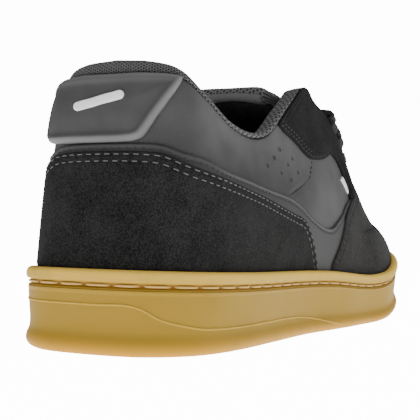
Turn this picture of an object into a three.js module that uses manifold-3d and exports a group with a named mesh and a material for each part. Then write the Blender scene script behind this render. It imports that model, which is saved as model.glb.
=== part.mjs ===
// Suede sneaker, right shoe, in millimetres
// The last's own frame has x towards the lateral side, y from the back of the heel to the toe and z up
// from the floor. The finished group is moved so that its origin is under the middle of the sole.

import * as THREE from 'three';
import { mergeVertices } from 'three/addons/utils/BufferGeometryUtils.js';
import Module from 'manifold-3d';

const wasm = await Module();
wasm.setup();

// Driving sizes of the sole
const soleLength = 300;
const halfWidth = { heel: 42.4, lateralWaist: 41.8, medialWaist: 36, lateralBall: 49.2, medialBall: 52 };
const toeShift = -8;
const wallHeight = { heel: 30.7, waist: 28, ball: 24.8, toe: 28.3 };
const toeSpring = 12.5;
const soleThickness = { heel: 15, ball: 9.5 };
const archRise = 2;
const cupWall = 3;
const lipBulge = 0.7;
const lipRound = 1.6;
const lipFall = 0.3;
const grooveDrop = 6;
const grooveDepth = 1.1;
const grooveWidth = 2.4;
const bottomRound = 3.5;
const treadDepth = 1.6;
const treadWidth = 2.6;
const treadPitch = 13;
const treadRim = 13;
const treadOver = 4;
const archSlope = 3;

// Driving sizes of the upper
const heelHeight = 101;
const ankleHeight = 83;
const instepHeight = 112;
const vampHeight = 64;
const heelLean = 4;
const collarHalfWidth = 35;
const throatHalfWidth = 29;
const upperWall = 2;
const overlay = 1.4;
const vampStep = 0.8;
const clearance = 0.3;
const overlayTuck = 4;

// Driving sizes of the pieces that go on or in the upper
const insoleThickness = 5;
const insoleRound = 1.2;
const tabThickness = 3;
const tabOverBand = 0.8;
const tabReach = { lateralBottom: 18.5, lateralTop: 29, medial: 30 };
const tabCorner = 5;
const tabDepth = 45;
const rollHeight = 5.5;
const rollWidth = 7;
const liningThickness = 3;
const liningDepth = 34;
const tongueThickness = 6;
const tongueHalfWidth = 26;
const tongueCrown = 111.5;
const eyeletRows = 6;
const eyeletRadius = 2.1;
const eyeletInset = 7;
const eyeletSpan = { top: 6.8, bottom: 9.5 };
const laceWidth = 7.5;
const laceThickness = 1.8;

// Outline of the sole, once round from the back of the heel by the lateral side
// half: the half width that the point follows, across: share of it, along: share of the length
const outlineRows = [
  { half: 'heel', across: 0, along: 0 },
  { half: 'heel', across: 0.46, along: 0.009 },
  { half: 'heel', across: 0.76, along: 0.042 },
  { half: 'heel', across: 0.93, along: 0.09 },
  { half: 'heel', across: 1, along: 0.173 },
  { half: 'lateralWaist', across: 1.005, along: 0.3 },
  { half: 'lateralWaist', across: 1, along: 0.417 },
  { half: 'lateralBall', across: 0.925, along: 0.543 },
  { half: 'lateralBall', across: 0.955, along: 0.633 },
  { half: 'lateralBall', across: 1, along: 0.727 },
  { half: 'lateralBall', across: 0.9, along: 0.827 },
  { half: 'lateralBall', across: 0.68, along: 0.907 },
  { half: 'lateralBall', across: 0.36, along: 0.97 },
  { half: 'tip', across: 1, along: 1 },
  { half: 'medialBall', across: -0.594, along: 0.973 },
  { half: 'medialBall', across: -0.85, along: 0.907 },
  { half: 'medialBall', across: -0.985, along: 0.827 },
  { half: 'medialBall', across: -1, along: 0.74 },
  { half: 'medialBall', across: -0.93, along: 0.633 },
  { half: 'medialBall', across: -0.846, along: 0.543 },
  { half: 'medialWaist', across: -1, along: 0.417 },
  { half: 'medialWaist', across: -1.089, along: 0.3 },
  { half: 'heel', across: -1, along: 0.173 },
  { half: 'heel', across: -0.93, along: 0.09 },
  { half: 'heel', across: -0.76, along: 0.042 },
  { half: 'heel', across: -0.46, along: 0.009 },
];
const outlineCount = outlineRows.length;
const tipStation = outlineRows.findIndex((row) => row.half === 'tip');

// Heights along the foot. along: share of the length, up: share of the named height
const springRows = [
  { along: 0, up: 0 },
  { along: 0.65, up: 0 },
  { along: 0.717, up: 0.08 },
  { along: 0.783, up: 0.28 },
  { along: 0.833, up: 0.48 },
  { along: 0.9, up: 0.72 },
  { along: 1, up: 1 },
];
const archRows = [
  { along: 0.26, up: 0 },
  { along: 0.36, up: 0.8 },
  { along: 0.44, up: 1 },
  { along: 0.52, up: 0.6 },
  { along: 0.58, up: 0 },
];

// Side of the sole from its tread edge up to the groove
// out: millimetres outside the outline, up: share of the wall's height
const sideRows = [
  { out: -bottomRound, up: 0 },
  { out: -0.3 * bottomRound, up: 0.022 },
  { out: 0.3, up: 0.1 },
  { out: 0.5, up: 0.2 },
  { out: -0.4, up: 0.45 },
  { out: -0.1, up: 0.72 },
];

// Groove and lip over the side. out: as above, drop: millimetres under the wall's height
const lipRows = [
  { out: 0, drop: grooveDrop + grooveWidth / 3 },
  { out: -grooveDepth, drop: grooveDrop - grooveWidth / 6 },
  { out: lipBulge, drop: grooveDrop - (2 * grooveWidth) / 3 },
  { out: lipBulge, drop: lipRound },
  { out: lipBulge - 0.35 * (cupWall + lipBulge), drop: 0 },
  { out: -cupWall, drop: lipFall },
];

// Ribs of the upper, from the feather edge to the top line, at stations counted along the outline
// The medial side repeats the rows with x turned over.
// half, along, up: place of the top line as shares of half the collar's or throat's width, the sole's
// length and the named height. out1, rise1: lower handle, millimetres outwards and share of the rib's
// height. out2, rise2: upper handle, outwards from the top line and share of the rib's height.
const ribRows = [
  {
    station: 0, of: 'collar', half: 0, along: 0.037, height: 'heel', up: 1,
    out1: -1.5, rise1: 0.3, out2: 0, rise2: 0.55,
  },
  {
    station: 1, of: 'collar', half: 0.39, along: 0.041, height: 'heel', up: 1,
    out1: -1.5, rise1: 0.3, out2: 0.5, rise2: 0.6,
  },
  {
    station: 2, of: 'collar', half: 0.69, along: 0.06, height: 'heel', up: 0.985,
    out1: -1.5, rise1: 0.3, out2: 4, rise2: 0.78,
  },
  {
    station: 3, of: 'collar', half: 0.84, along: 0.09, height: 'heel', up: 0.925,
    out1: -0.5, rise1: 0.3, out2: 5, rise2: 0.8,
  },
  {
    station: 4, of: 'collar', half: 0.95, along: 0.16, height: 'ankle', up: 1.018,
    out1: 1, rise1: 0.35, out2: 3, rise2: 0.7,
  },
  {
    station: 5, of: 'collar', half: 1, along: 0.267, height: 'ankle', up: 1.012,
    out1: 2, rise1: 0.35, out2: 2.5, rise2: 0.65,
  },
  {
    station: 6, of: 'collar', half: 0.943, along: 0.373, height: 'instep', up: 0.904,
    out1: 2.5, rise1: 0.35, out2: 3, rise2: 0.68,
  },
  {
    station: 6.5, of: 'throat', half: 1.07, along: 0.44, height: 'instep', up: 1,
    out1: 2.5, rise1: 0.35, out2: 3, rise2: 0.68,
  },
  {
    station: 7, of: 'throat', half: 1, along: 0.495, height: 'instep', up: 0.965,
    out1: 2.5, rise1: 0.36, out2: 4, rise2: 0.72,
  },
  {
    station: 8, of: 'throat', half: 0.95, along: 0.573, height: 'instep', up: 0.885,
    out1: 1.5, rise1: 0.36, out2: 6, rise2: 0.76,
  },
  {
    station: 9, of: 'throat', half: 0.8, along: 0.645, height: 'instep', up: 0.745,
    out1: 0.5, rise1: 0.34, out2: 8, rise2: 0.8,
  },
  {
    station: 10, of: 'throat', half: 0.6, along: 0.69, height: 'vamp', up: 1.06,
    out1: -1, rise1: 0.34, out2: 13, rise2: 0.84,
  },
  {
    station: 11, of: 'throat', half: 0.4, along: 0.717, height: 'vamp', up: 1.01,
    out1: -0.5, rise1: 0.4, out2: 20, rise2: 0.84,
  },
  {
    station: 12, of: 'throat', half: 0.2, along: 0.73, height: 'vamp', up: 1.002,
    out1: 0.5, rise1: 0.5, out2: 27, rise2: 0.8,
  },
  {
    station: 13, of: 'throat', half: 0, along: 0.734, height: 'vamp', up: 1,
    out1: 1, rise1: 0.6, out2: 30, rise2: 0.78,
  },
];

// Edges of the panels, seen from the side
// along: share of the length, up: share of the collar's height at the heel
const counterRows = [
  { along: 0, up: 0.728 },
  { along: 0.04, up: 0.716 },
  { along: 0.055, up: 0.69 },
  { along: 0.072, up: 0.667 },
  { along: 0.11, up: 0.643 },
  { along: 0.17, up: 0.615 },
  { along: 0.233, up: 0.588 },
  { along: 0.303, up: 0.551 },
  { along: 0.383, up: 0.511 },
  { along: 0.415, up: 0.473 },
  { along: 0.436, up: 0.425 },
  { along: 0.446, up: 0.371 },
  { along: 0.454, up: 0.29 },
  { along: 0.457, up: 0.1 },
];
const bandRows = [
  { along: 0, up: 0.754 },
  { along: 0.04, up: 0.748 },
  { along: 0.055, up: 0.722 },
  { along: 0.083, up: 0.7 },
  { along: 0.12, up: 0.672 },
  { along: 0.203, up: 0.643 },
  { along: 0.27, up: 0.619 },
  { along: 0.335, up: 0.599 },
  { along: 0.383, up: 0.568 },
  { along: 0.423, up: 0.523 },
  { along: 0.458, up: 0.489 },
  { along: 0.484, up: 0.472 },
  { along: 0.507, up: 0.475 },
  { along: 0.529, up: 0.507 },
  { along: 0.555, up: 0.545 },
  { along: 0.573, up: 0.582 },
  { along: 0.6, up: 0.612 },
];
const vampRows = [
  { along: 0.5, up: 0.1 },
  { along: 0.504, up: 0.286 },
  { along: 0.51, up: 0.324 },
  { along: 0.527, up: 0.38 },
  { along: 0.547, up: 0.455 },
  { along: 0.565, up: 0.539 },
  { along: 0.6, up: 0.597 },
  { along: 0.63, up: 0.64 },
  { along: 0.66, up: 0.8 },
];
const eyestayRows = [
  { along: 0.32, up: 0.915 },
  { along: 0.385, up: 0.83 },
  { along: 0.417, up: 0.794 },
  { along: 0.447, up: 0.778 },
  { along: 0.515, up: 0.803 },
  { along: 0.54, up: 0.825 },
  { along: 0.575, up: 0.765 },
  { along: 0.6, up: 0.64 },
];
const toeRows = [
  { along: 0.5, up: 0.49 },
  { along: 0.62, up: 0.535 },
  { along: 0.7, up: 0.53 },
  { along: 0.76, up: 0.5 },
  { along: 0.82, up: 0.48 },
  { along: 0.86, up: 0.51 },
  { along: 0.885, up: 0.62 },
  { along: 0.9, up: 0.9 },
];

// Tongue, from its free edge down to its end under the vamp
// along: share of the length, half: share of its half width, crown: share of its crown's height
// drop: millimetres from the crown down to its long edges
const tongueRows = [
  { along: 0.39, half: 0.8, crown: 1, drop: 6 },
  { along: 0.44, half: 0.92, crown: 0.99, drop: 8 },
  { along: 0.495, half: 1, crown: 0.955, drop: 10 },
  { along: 0.57, half: 1, crown: 0.868, drop: 10 },
  { along: 0.64, half: 0.92, crown: 0.745, drop: 9 },
  { along: 0.69, half: 0.78, crown: 0.63, drop: 7 },
  { along: 0.735, half: 0.55, crown: 0.53, drop: 4 },
  { along: 0.76, half: 0.45, crown: 0.507, drop: 3 },
];

// Roll of the collar over the top line. station: as above, up: share of the roll's height
const rollRows = [
  { station: 0, up: 1 },
  { station: 0.7, up: 0.85 },
  { station: 2, up: 0.5 },
  { station: 3, up: 0.42 },
  { station: 5, up: 0.42 },
  { station: 6, up: 0.8 },
];
const collarEnd = 6;

// Sampling of the surfaces
// spans: stretches of the outline in stations, each with its count of strips
const spans = [
  { from: 0, to: 4, count: 10 },
  { from: 4, to: 6, count: 3 },
  { from: 6, to: 8, count: 4 },
  { from: 8, to: 10, count: 3 },
  { from: 10, to: 16, count: 16 },
  { from: 16, to: 18, count: 3 },
  { from: 18, to: 20, count: 4 },
  { from: 20, to: 22, count: 3 },
  { from: 22, to: 26, count: 10 },
];
const ribSteps = 6;
const edgeSteps = 18;
const tongueSteps = { along: 10, across: 6 };
const punchSides = 6;

// Steps either way over which a slope is taken, and halvings in the search for a place on a curve
const nearby = { outline: 0.01, station: 0.05, share: 0.02, along: 0.01 };
const halvings = 24;

// Value of a table's column at a share of the length, smooth through its rows and held past its ends
function column(rows, key, name, at) {
  const last = rows.length - 1;
  const x = THREE.MathUtils.clamp(at, rows[0][key], rows[last][key]);
  let i = 0;
  while (i < last - 1 && rows[i + 1][key] <= x) i += 1;
  const slope = (j) => {
    const a = Math.max(j - 1, 0);
    const b = Math.min(j + 1, last);
    return (rows[b][name] - rows[a][name]) / (rows[b][key] - rows[a][key]);
  };
  const run = rows[i + 1][key] - rows[i][key];
  const t = (x - rows[i][key]) / run;
  const blend = 3 * t ** 2 - 2 * t ** 3;
  const held = (1 - blend) * rows[i][name] + blend * rows[i + 1][name];
  return held + run * ((t ** 3 - 2 * t ** 2 + t) * slope(i) + (t ** 3 - t ** 2) * slope(i + 1));
}

// Points of the outline in the last's frame, joined by a closed Catmull-Rom curve
const outlinePoints = outlineRows.map(({ half, across, along }) => {
  const width = half === 'tip' ? toeShift : halfWidth[half];
  return new THREE.Vector2(across * width, along * soleLength);
});

function outlinePoint(station) {
  const wrapped = THREE.MathUtils.euclideanModulo(station, outlineCount);
  const i = Math.floor(wrapped);
  const t = wrapped - i;
  const [a, b, c, d] = [-1, 0, 1, 2].map((k) => outlinePoints[(i + k + outlineCount) % outlineCount]);
  const mix = (p, q, r, s) =>
    0.5 * (2 * q + (r - p) * t + (2 * p - 5 * q + 4 * r - s) * t * t + (3 * q - p - 3 * r + s) * t ** 3);
  return new THREE.Vector2(mix(a.x, b.x, c.x, d.x), mix(a.y, b.y, c.y, d.y));
}

function outlineNormal(station) {
  const ahead = outlinePoint(station + nearby.outline).sub(outlinePoint(station - nearby.outline));
  return new THREE.Vector2(ahead.y, -ahead.x).normalize();
}

// Place on the outline moved outwards by so many millimetres, at a height
function besideOutline(station, out, height) {
  const point = outlinePoint(station).addScaledVector(outlineNormal(station), out);
  return new THREE.Vector3(point.x, point.y, height(point.y / soleLength));
}

const springAt = (along) => toeSpring * Math.max(0, column(springRows, 'along', 'up', along));

const wallRows = [
  { along: 0, up: wallHeight.heel },
  { along: 0.2, up: 0.5 * (wallHeight.heel + wallHeight.waist) },
  { along: 0.467, up: wallHeight.waist },
  { along: 0.667, up: wallHeight.ball },
  { along: 1, up: wallHeight.toe },
];
const wallAt = (along) => column(wallRows, 'along', 'up', along);
const lipAt = (along) => springAt(along) + wallAt(along);

const thicknessRows = [
  { along: 0, up: soleThickness.heel },
  { along: 0.3, up: soleThickness.heel },
  { along: 0.65, up: soleThickness.ball },
  { along: 1, up: soleThickness.ball },
];
const cupFloorAt = (along) => springAt(along) + column(thicknessRows, 'along', 'up', along);

// Feather edge of the upper: the cup's wall, the overlay and two clearances inside the outline
const featherInset = cupWall + clearance + overlay + clearance;

const heights = { heel: heelHeight, ankle: ankleHeight, instep: instepHeight, vamp: vampHeight };
const topHalf = { collar: collarHalfWidth, throat: throatHalfWidth };
const topRows = ribRows.map((row) => ({
  ...row,
  x: row.half * topHalf[row.of],
  y: row.along * soleLength,
  z: row.up * heights[row.height],
}));

// The last's centre line leans a little to the lateral side at the collar and bends to the medial side
// from the waist to the toe
const centreRows = [
  { along: 0, x: heelLean },
  { along: 0.09, x: heelLean },
  { along: 0.22, x: 0 },
  { along: 0.5, x: 0 },
  { along: 0.72, x: 0.35 * toeShift },
  { along: 1, x: toeShift },
];
const centreAt = (along) => column(centreRows, 'along', 'x', along);

// Rib of the upper at a station: four control points of a cubic curve
function ribAt(station) {
  const wrapped = THREE.MathUtils.euclideanModulo(station, outlineCount);
  const side = wrapped <= tipStation ? 1 : -1;
  const row = side > 0 ? wrapped : outlineCount - wrapped;
  const value = (name) => column(topRows, 'station', name, row);
  const foot = besideOutline(wrapped, -featherInset, lipAt);
  const y = value('y');
  const top = new THREE.Vector3(side * value('x') + centreAt(y / soleLength), y, value('z'));
  const normal = outlineNormal(wrapped);
  const rise = top.z - foot.z;
  const handle = (from, out, up) =>
    new THREE.Vector3(from.x + out * normal.x, from.y + out * normal.y, foot.z + up * rise);
  return [foot, handle(foot, value('out1'), value('rise1')), handle(top, value('out2'), value('rise2')), top];
}

// Place on the upper's outer face: v from -1 on the cup's floor by 0 at the lip to 1 at the top line
function lastPoint(station, v) {
  const [foot, low, high, top] = ribAt(station);
  if (v < 0) {
    const floor = cupFloorAt(foot.y / soleLength) + clearance;
    return new THREE.Vector3(foot.x, foot.y, THREE.MathUtils.lerp(foot.z, floor, -v));
  }
  const w = 1 - v;
  return new THREE.Vector3()
    .addScaledVector(foot, w ** 3)
    .addScaledVector(low, 3 * w * w * v)
    .addScaledVector(high, 3 * w * v * v)
    .addScaledVector(top, v ** 3);
}

function lastNormal(station, v) {
  const low = THREE.MathUtils.clamp(v, nearby.share, 1 - nearby.share);
  const along = lastPoint(station + nearby.station, low).sub(lastPoint(station - nearby.station, low));
  const up = lastPoint(station, low + nearby.share).sub(lastPoint(station, low - nearby.share));
  const normal = along.cross(up).normalize();
  if (v >= 0) return normal;
  normal.z = 0;
  return normal.normalize();
}

// Place off the upper's outer face, outwards by lift millimetres
function offLast(station, v, lift) {
  return lastPoint(station, v).addScaledVector(lastNormal(station, v), lift);
}

// Share v at which a rib reaches an edge's height, or 1 where it stays under it
function ribShareAt(station, edge) {
  let low = 0;
  let high = 1;
  const over = (v) => {
    const point = lastPoint(station, v);
    return point.z - edge(point.y / soleLength);
  };
  if (over(1) <= 0) return 1;
  if (over(0) >= 0) return 0;
  for (let step = 0; step < halvings; step += 1) {
    const middle = 0.5 * (low + high);
    if (over(middle) > 0) high = middle;
    else low = middle;
  }
  return 0.5 * (low + high);
}

// Solid from triangles of shared points
function solid(points, faces) {
  const geometry = new THREE.BufferGeometry();
  const numbers = points.flatMap((p) => [p.x, p.y, p.z]);
  geometry.setAttribute('position', new THREE.Float32BufferAttribute(numbers, 3));
  geometry.setIndex(faces.flat());
  return geometry;
}

const quad = (a, b, c, d) => [[a, b, c], [a, c, d]];

// Closed solid between two faces, each a grid of places by station and by share up the rib
// Round the shoe the last station joins the first, else the ends are closed.
function wallBetween(outer, inner, round = false) {
  const rows = outer.length;
  const steps = outer[0].length;
  const points = [...outer.flat(), ...inner.flat()];
  const o = (i, j) => (i % rows) * steps + j;
  const n = (i, j) => rows * steps + o(i, j);
  const faces = [];
  const spans = round ? rows : rows - 1;
  for (let i = 0; i < spans; i += 1) {
    for (let j = 0; j < steps - 1; j += 1) {
      faces.push(...quad(o(i, j), o(i + 1, j), o(i + 1, j + 1), o(i, j + 1)));
      faces.push(...quad(n(i, j), n(i, j + 1), n(i + 1, j + 1), n(i + 1, j)));
    }
    faces.push(...quad(o(i, 0), n(i, 0), n(i + 1, 0), o(i + 1, 0)));
    faces.push(...quad(o(i, steps - 1), o(i + 1, steps - 1), n(i + 1, steps - 1), n(i, steps - 1)));
  }
  if (!round) {
    for (let j = 0; j < steps - 1; j += 1) {
      faces.push(...quad(o(0, j), o(0, j + 1), n(0, j + 1), n(0, j)));
      faces.push(...quad(o(rows - 1, j), n(rows - 1, j), n(rows - 1, j + 1), o(rows - 1, j + 1)));
    }
  }
  return solid(points, faces);
}

// Closed solid from rings of equally many places, its first and last ring closed by rungs that run
// from the lateral to the medial side
function ringStack(rings) {
  const count = rings[0].length;
  const points = rings.flat();
  const faces = [];
  rings.slice(1).forEach((ring, k) => {
    for (let i = 0; i < count; i += 1) {
      const next = (i + 1) % count;
      const above = (k + 1) * count;
      faces.push(...quad(k * count + i, k * count + next, above + next, above + i));
    }
  });
  const base = (rings.length - 1) * count;
  for (let i = 0; i < count / 2; i += 1) {
    const j = (count - i) % count;
    const jNext = count - i - 1;
    if (i > 0) {
      faces.push([j, jNext, i], [base + i, base + jNext, base + j]);
    }
    if (jNext !== i + 1) {
      faces.push([jNext, i + 1, i], [base + i, base + i + 1, base + jNext]);
    }
  }
  return solid(points, faces);
}

const roundStations = spans.flatMap(({ from, to, count }) =>
  Array.from({ length: count }, (_, i) => from + ((to - from) * i) / count));

// Stations from one to another across the back of the heel, counted down from it on the medial side
function heelStations(reach) {
  const lateral = roundStations.filter((station) => station < reach + 1e-6);
  return [...lateral.slice(1).reverse().map((station) => -station), ...lateral];
}

const shares = (from, to, count) =>
  Array.from({ length: count + 1 }, (_, i) => from + ((to - from) * i) / count);

const ribShares = shares(0, 1, ribSteps);

// Cutting and joining of closed meshes
function toManifold(geometry) {
  const bare = geometry.clone();
  bare.deleteAttribute('normal');
  bare.deleteAttribute('uv');
  const merged = mergeVertices(bare, 1e-4);
  return new wasm.Manifold(new wasm.Mesh({
    numProp: 3,
    vertProperties: new Float32Array(merged.getAttribute('position').array),
    triVerts: new Uint32Array(merged.getIndex().array),
  }));
}

function fromManifold(manifold) {
  const mesh = manifold.getMesh();
  const geometry = new THREE.BufferGeometry();
  geometry.setAttribute('position', new THREE.BufferAttribute(new Float32Array(mesh.vertProperties), 3));
  geometry.setIndex(new THREE.BufferAttribute(new Uint32Array(mesh.triVerts), 1));
  return geometry;
}

const cutAll = (geometry, cutters) =>
  fromManifold(cutters.reduce((left, cutter) => left.subtract(toManifold(cutter)), toManifold(geometry)));
const joinAll = (pieces) =>
  fromManifold(pieces.slice(1).reduce((sum, piece) => sum.add(toManifold(piece)), toManifold(pieces[0])));

// Outsole: a cup with a tread, a bevelled foot, a waisted side, a stitch groove and a rounded lip
function outsoleGeometry() {
  const bottom = (rise) => (along) => springAt(along) + rise * column(archRows, 'along', 'up', along);
  const upWall = (share) => (along) => springAt(along) + share * wallAt(along);
  const underLip = (drop) => (along) => lipAt(along) - drop;
  const ring = (out, height) => roundStations.map((station) => besideOutline(station, out, height));
  const rings = [
    ring(-treadRim, bottom(archRise)),
    ring(-treadRim + archSlope, bottom(0)),
    ...sideRows.map(({ out, up }) => ring(out, upWall(up))),
    ...lipRows.map(({ out, drop }) => ring(out, underLip(drop))),
    ring(-cupWall, cupFloorAt),
  ];
  return ringStack(rings);
}

// Tread: straight channels across the sole inside its rim, none under the arch
function treadChannels() {
  const channels = [];
  for (let y = treadRim; y < soleLength - treadRim; y += treadPitch) {
    const along = y / soleLength;
    if (column(archRows, 'along', 'up', along) > 0) continue;
    const lateral = besideOutline(stationAt(along, 1), -treadRim + treadOver, springAt);
    const medial = besideOutline(stationAt(along, -1), -treadRim + treadOver, springAt);
    const rise = springAt(along + nearby.along) - springAt(along - nearby.along);
    const slope = Math.atan2(rise, 2 * nearby.along * soleLength);
    const channel = new THREE.BoxGeometry(lateral.x - medial.x, treadWidth, 2 * treadDepth);
    channel.rotateX(slope);
    channel.translate(0.5 * (lateral.x + medial.x), y, springAt(along));
    channels.push(channel);
  }
  return channels;
}

// Station of the outline on one side at a share of the length
function stationAt(along, side) {
  let low = 0;
  let high = tipStation;
  for (let step = 0; step < halvings; step += 1) {
    const middle = 0.5 * (low + high);
    if (outlinePoint(side > 0 ? middle : outlineCount - middle).y / soleLength < along) low = middle;
    else high = middle;
  }
  return side > 0 ? low : outlineCount - low;
}

// Insole: lies on the cup's floor inside the upper's wall
function insoleGeometry() {
  const inset = featherInset + upperWall + clearance;
  const over = (rise) => (along) => cupFloorAt(along) + clearance + rise;
  const ring = (out, height) => roundStations.map((station) => besideOutline(station, out, height));
  return ringStack([
    ring(-inset, over(0)),
    ring(-inset, over(insoleThickness - insoleRound)),
    ring(-inset - insoleRound, over(insoleThickness)),
  ]);
}

// Upper: one hollow wall all round, open at the collar and throat and underneath
function upperGeometry() {
  const rows = [-1, ...ribShares];
  const face = (lift) => roundStations.map((station) => rows.map((v) => offLast(station, v, lift)));
  return wallBetween(face(0), face(-upperWall), true);
}

// Layer over the upper, from its tuck in the cup up to the top line, thicker by step over the lip
function layerGeometry(thickness, step = 0) {
  const face = (lift, more) => roundStations.map((station) =>
    [tuckShare(station), ...ribShares].map((v, row) => offLast(station, v, lift + (row > 1 ? more : 0))));
  return wallBetween(face(clearance + thickness, step), face(clearance, 0), true);
}

// Share of a rib at which a panel tucks into the cup
function tuckShare(station) {
  const foot = ribAt(station)[0];
  const depth = foot.z - cupFloorAt(foot.y / soleLength) - clearance;
  return -overlayTuck / depth;
}

// Block that stands on an outline in the side view and reaches across the shoe
function sideBlock(points, from = -soleLength, to = soleLength) {
  const shape = new THREE.Shape(points.map(([y, z]) => new THREE.Vector2(y, z)));
  const block = new THREE.ExtrudeGeometry(shape, { depth: to - from, bevelEnabled: false });
  const turn = new THREE.Matrix4().makeBasis(
    new THREE.Vector3(0, 1, 0),
    new THREE.Vector3(0, 0, 1),
    new THREE.Vector3(1, 0, 0),
  );
  return toManifold(block.applyMatrix4(turn).translate(from, 0, 0));
}

// Block under an edge in the side view, moved up and along by so many millimetres
function underEdge(rows, up = 0, along = 0) {
  const first = rows[0].along;
  const last = rows[rows.length - 1].along;
  const line = shares(first, last, edgeSteps).map((at) =>
    [at * soleLength + along, heelHeight * column(rows, 'along', 'up', at) + up]);
  return sideBlock([[line[0][0], -soleLength], [line[edgeSteps][0], -soleLength], ...line.reverse()]);
}

// Block ahead of the vamp's rear edge, moved back by so many millimetres
function aheadOfVamp(back = 0) {
  const last = vampRows[vampRows.length - 1];
  const line = vampRows.map(({ along, up }) => [along * soleLength - back, up * heelHeight + back]);
  const far = 2 * soleLength;
  const rest = [[last.along * soleLength, far], [far, far], [far, -far], [line[0][0], -far]];
  return sideBlock([...line, ...rest].reverse());
}

// Counter: the suede panel round the heel
function counterGeometry(layer) {
  return fromManifold(layer.intersect(underEdge(counterRows)));
}

// Band: the leather panel that shows above the counter and runs down between it and the vamp
function bandGeometry(layer) {
  const cut = layer.intersect(underEdge(bandRows));
  const counter = underEdge(counterRows, clearance, clearance);
  return fromManifold(cut.subtract(counter).subtract(aheadOfVamp(clearance)));
}

// Vamp: the suede panel over the forefoot, with a second layer below the line of its toe overlay
function vampGeometry(layer) {
  const toe = toManifold(layerGeometry(overlay, vampStep));
  const line = toeRows.map(({ along, up }) => [along * soleLength, up * heelHeight]);
  const far = 2 * soleLength;
  const corners = [[line[0][0], -far], [far, -far], [far, line[line.length - 1][1]]];
  const low = sideBlock([...corners, ...line.reverse()]);
  return fromManifold(layer.add(toe.intersect(low)).intersect(aheadOfVamp()));
}

// Eyestay: the suede panel along one side of the throat, down to the vamp
function eyestayGeometry(layer, side) {
  const last = eyestayRows[eyestayRows.length - 1];
  const line = shares(eyestayRows[0].along, last.along, edgeSteps).map((at) =>
    [at * soleLength, heelHeight * column(eyestayRows, 'along', 'up', at)]);
  const far = 2 * soleLength;
  const end = tongueRows[tongueRows.length - 1].along * soleLength;
  const middle = centreAt(ribRows[tipStation + 1].along);
  const points = [...line, [end, line[edgeSteps][1]], [end, far], [line[0][0], far]];
  const block = side > 0 ? sideBlock(points, middle + clearance) : sideBlock(points, -soleLength, middle);
  const cut = layer.intersect(block).subtract(aheadOfVamp(clearance));
  return cutAll(fromManifold(cut), eyelets(side));
}

// Stations of the eyelets, top row first, and the share up the rib at their inset from the top line
const eyeletStations = shares(eyeletSpan.top, eyeletSpan.bottom, eyeletRows - 1);

function eyeletShare(station) {
  const top = lastPoint(station, 1);
  let low = 0.4;
  let high = 1;
  for (let step = 0; step < halvings; step += 1) {
    const middle = 0.5 * (low + high);
    if (lastPoint(station, middle).distanceTo(top) > eyeletInset) low = middle;
    else high = middle;
  }
  return low;
}

const onSide = (station, side) => (side > 0 ? station : outlineCount - station);

// Punches for one side's eyelets, each square to the upper
function eyelets(side) {
  return eyeletStations.map((row) => {
    const station = onSide(row, side);
    const v = eyeletShare(row);
    const reach = 4 * (upperWall + overlay);
    const punch = new THREE.CylinderGeometry(eyeletRadius, eyeletRadius, reach, punchSides);
    const turn = new THREE.Quaternion();
    turn.setFromUnitVectors(new THREE.Vector3(0, 1, 0), lastNormal(station, v));
    const place = lastPoint(station, v);
    return punch.applyQuaternion(turn).translate(place.x, place.y, place.z);
  });
}

// Collar: the padded lining inside the top line, rolled over its edge
function collarGeometry() {
  const gapIn = -(upperWall + clearance);
  const places = heelStations(collarEnd);
  const chains = places.map((station) => {
    const roll = rollHeight * column(rollRows, 'station', 'up', Math.abs(station));
    const top = lastPoint(station, 1);
    const out = lastNormal(station, 1);
    const up = top.clone().sub(lastPoint(station, 1 - 2 * nearby.share)).normalize();
    const at = (side, rise) => top.clone().addScaledVector(out, side).addScaledVector(up, rise);
    const low = liningShare(station, liningDepth);
    const near = liningShare(station, 0.3 * liningDepth);
    return {
      outer: [
        offLast(station, low, gapIn),
        offLast(station, near, gapIn),
        at(gapIn, 2 * clearance),
        at(-clearance, 3 * clearance),
        at(-0.1 * rollWidth, 0.65 * roll + 2 * clearance),
      ],
      inner: [
        offLast(station, low, gapIn - liningThickness),
        offLast(station, near, gapIn - 0.8 * rollWidth),
        at(gapIn - 0.85 * rollWidth, -1),
        at(gapIn - 0.6 * rollWidth, 0.7 * roll),
        at(-0.45 * rollWidth, roll + clearance),
      ],
    };
  });
  return wallBetween(chains.map(({ outer }) => outer), chains.map(({ inner }) => inner));
}

// Share of a rib at a depth below the top line
function liningShare(station, depth) {
  const top = lastPoint(station, 1).z;
  return ribShareAt(station, () => top - depth);
}

// Heel tab: the moulded rubber piece on the back of the collar
function tabGeometry() {
  const layer = toManifold(layerGeometry(tabThickness));
  const low = heelHeight * bandRows[0].up + tabOverBand;
  const high = 2 * heelHeight;
  const { lateralBottom, lateralTop, medial } = tabReach;
  const shape = new THREE.Shape();
  shape.moveTo(heelLean - medial - tabCorner, low);
  shape.lineTo(lateralBottom - tabCorner, low);
  shape.quadraticCurveTo(lateralBottom, low, lateralBottom + 0.4 * tabCorner, low + tabCorner);
  shape.lineTo(lateralTop, heelHeight);
  shape.lineTo(lateralTop, high);
  shape.lineTo(heelLean - medial, high);
  shape.lineTo(heelLean - medial, low + tabCorner);
  const block = new THREE.ExtrudeGeometry(shape, { depth: tabDepth, bevelEnabled: false, curveSegments: 4 });
  const turn = new THREE.Matrix4().makeRotationX(Math.PI / 2);
  return fromManifold(layer.intersect(toManifold(block.applyMatrix4(turn).translate(0, tabDepth, 0))));
}

// Tongue: a padded strip, crowned across, from under the vamp up through the throat
const tongueColumn = (name, along) => column(tongueRows, 'along', name, along);

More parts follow.
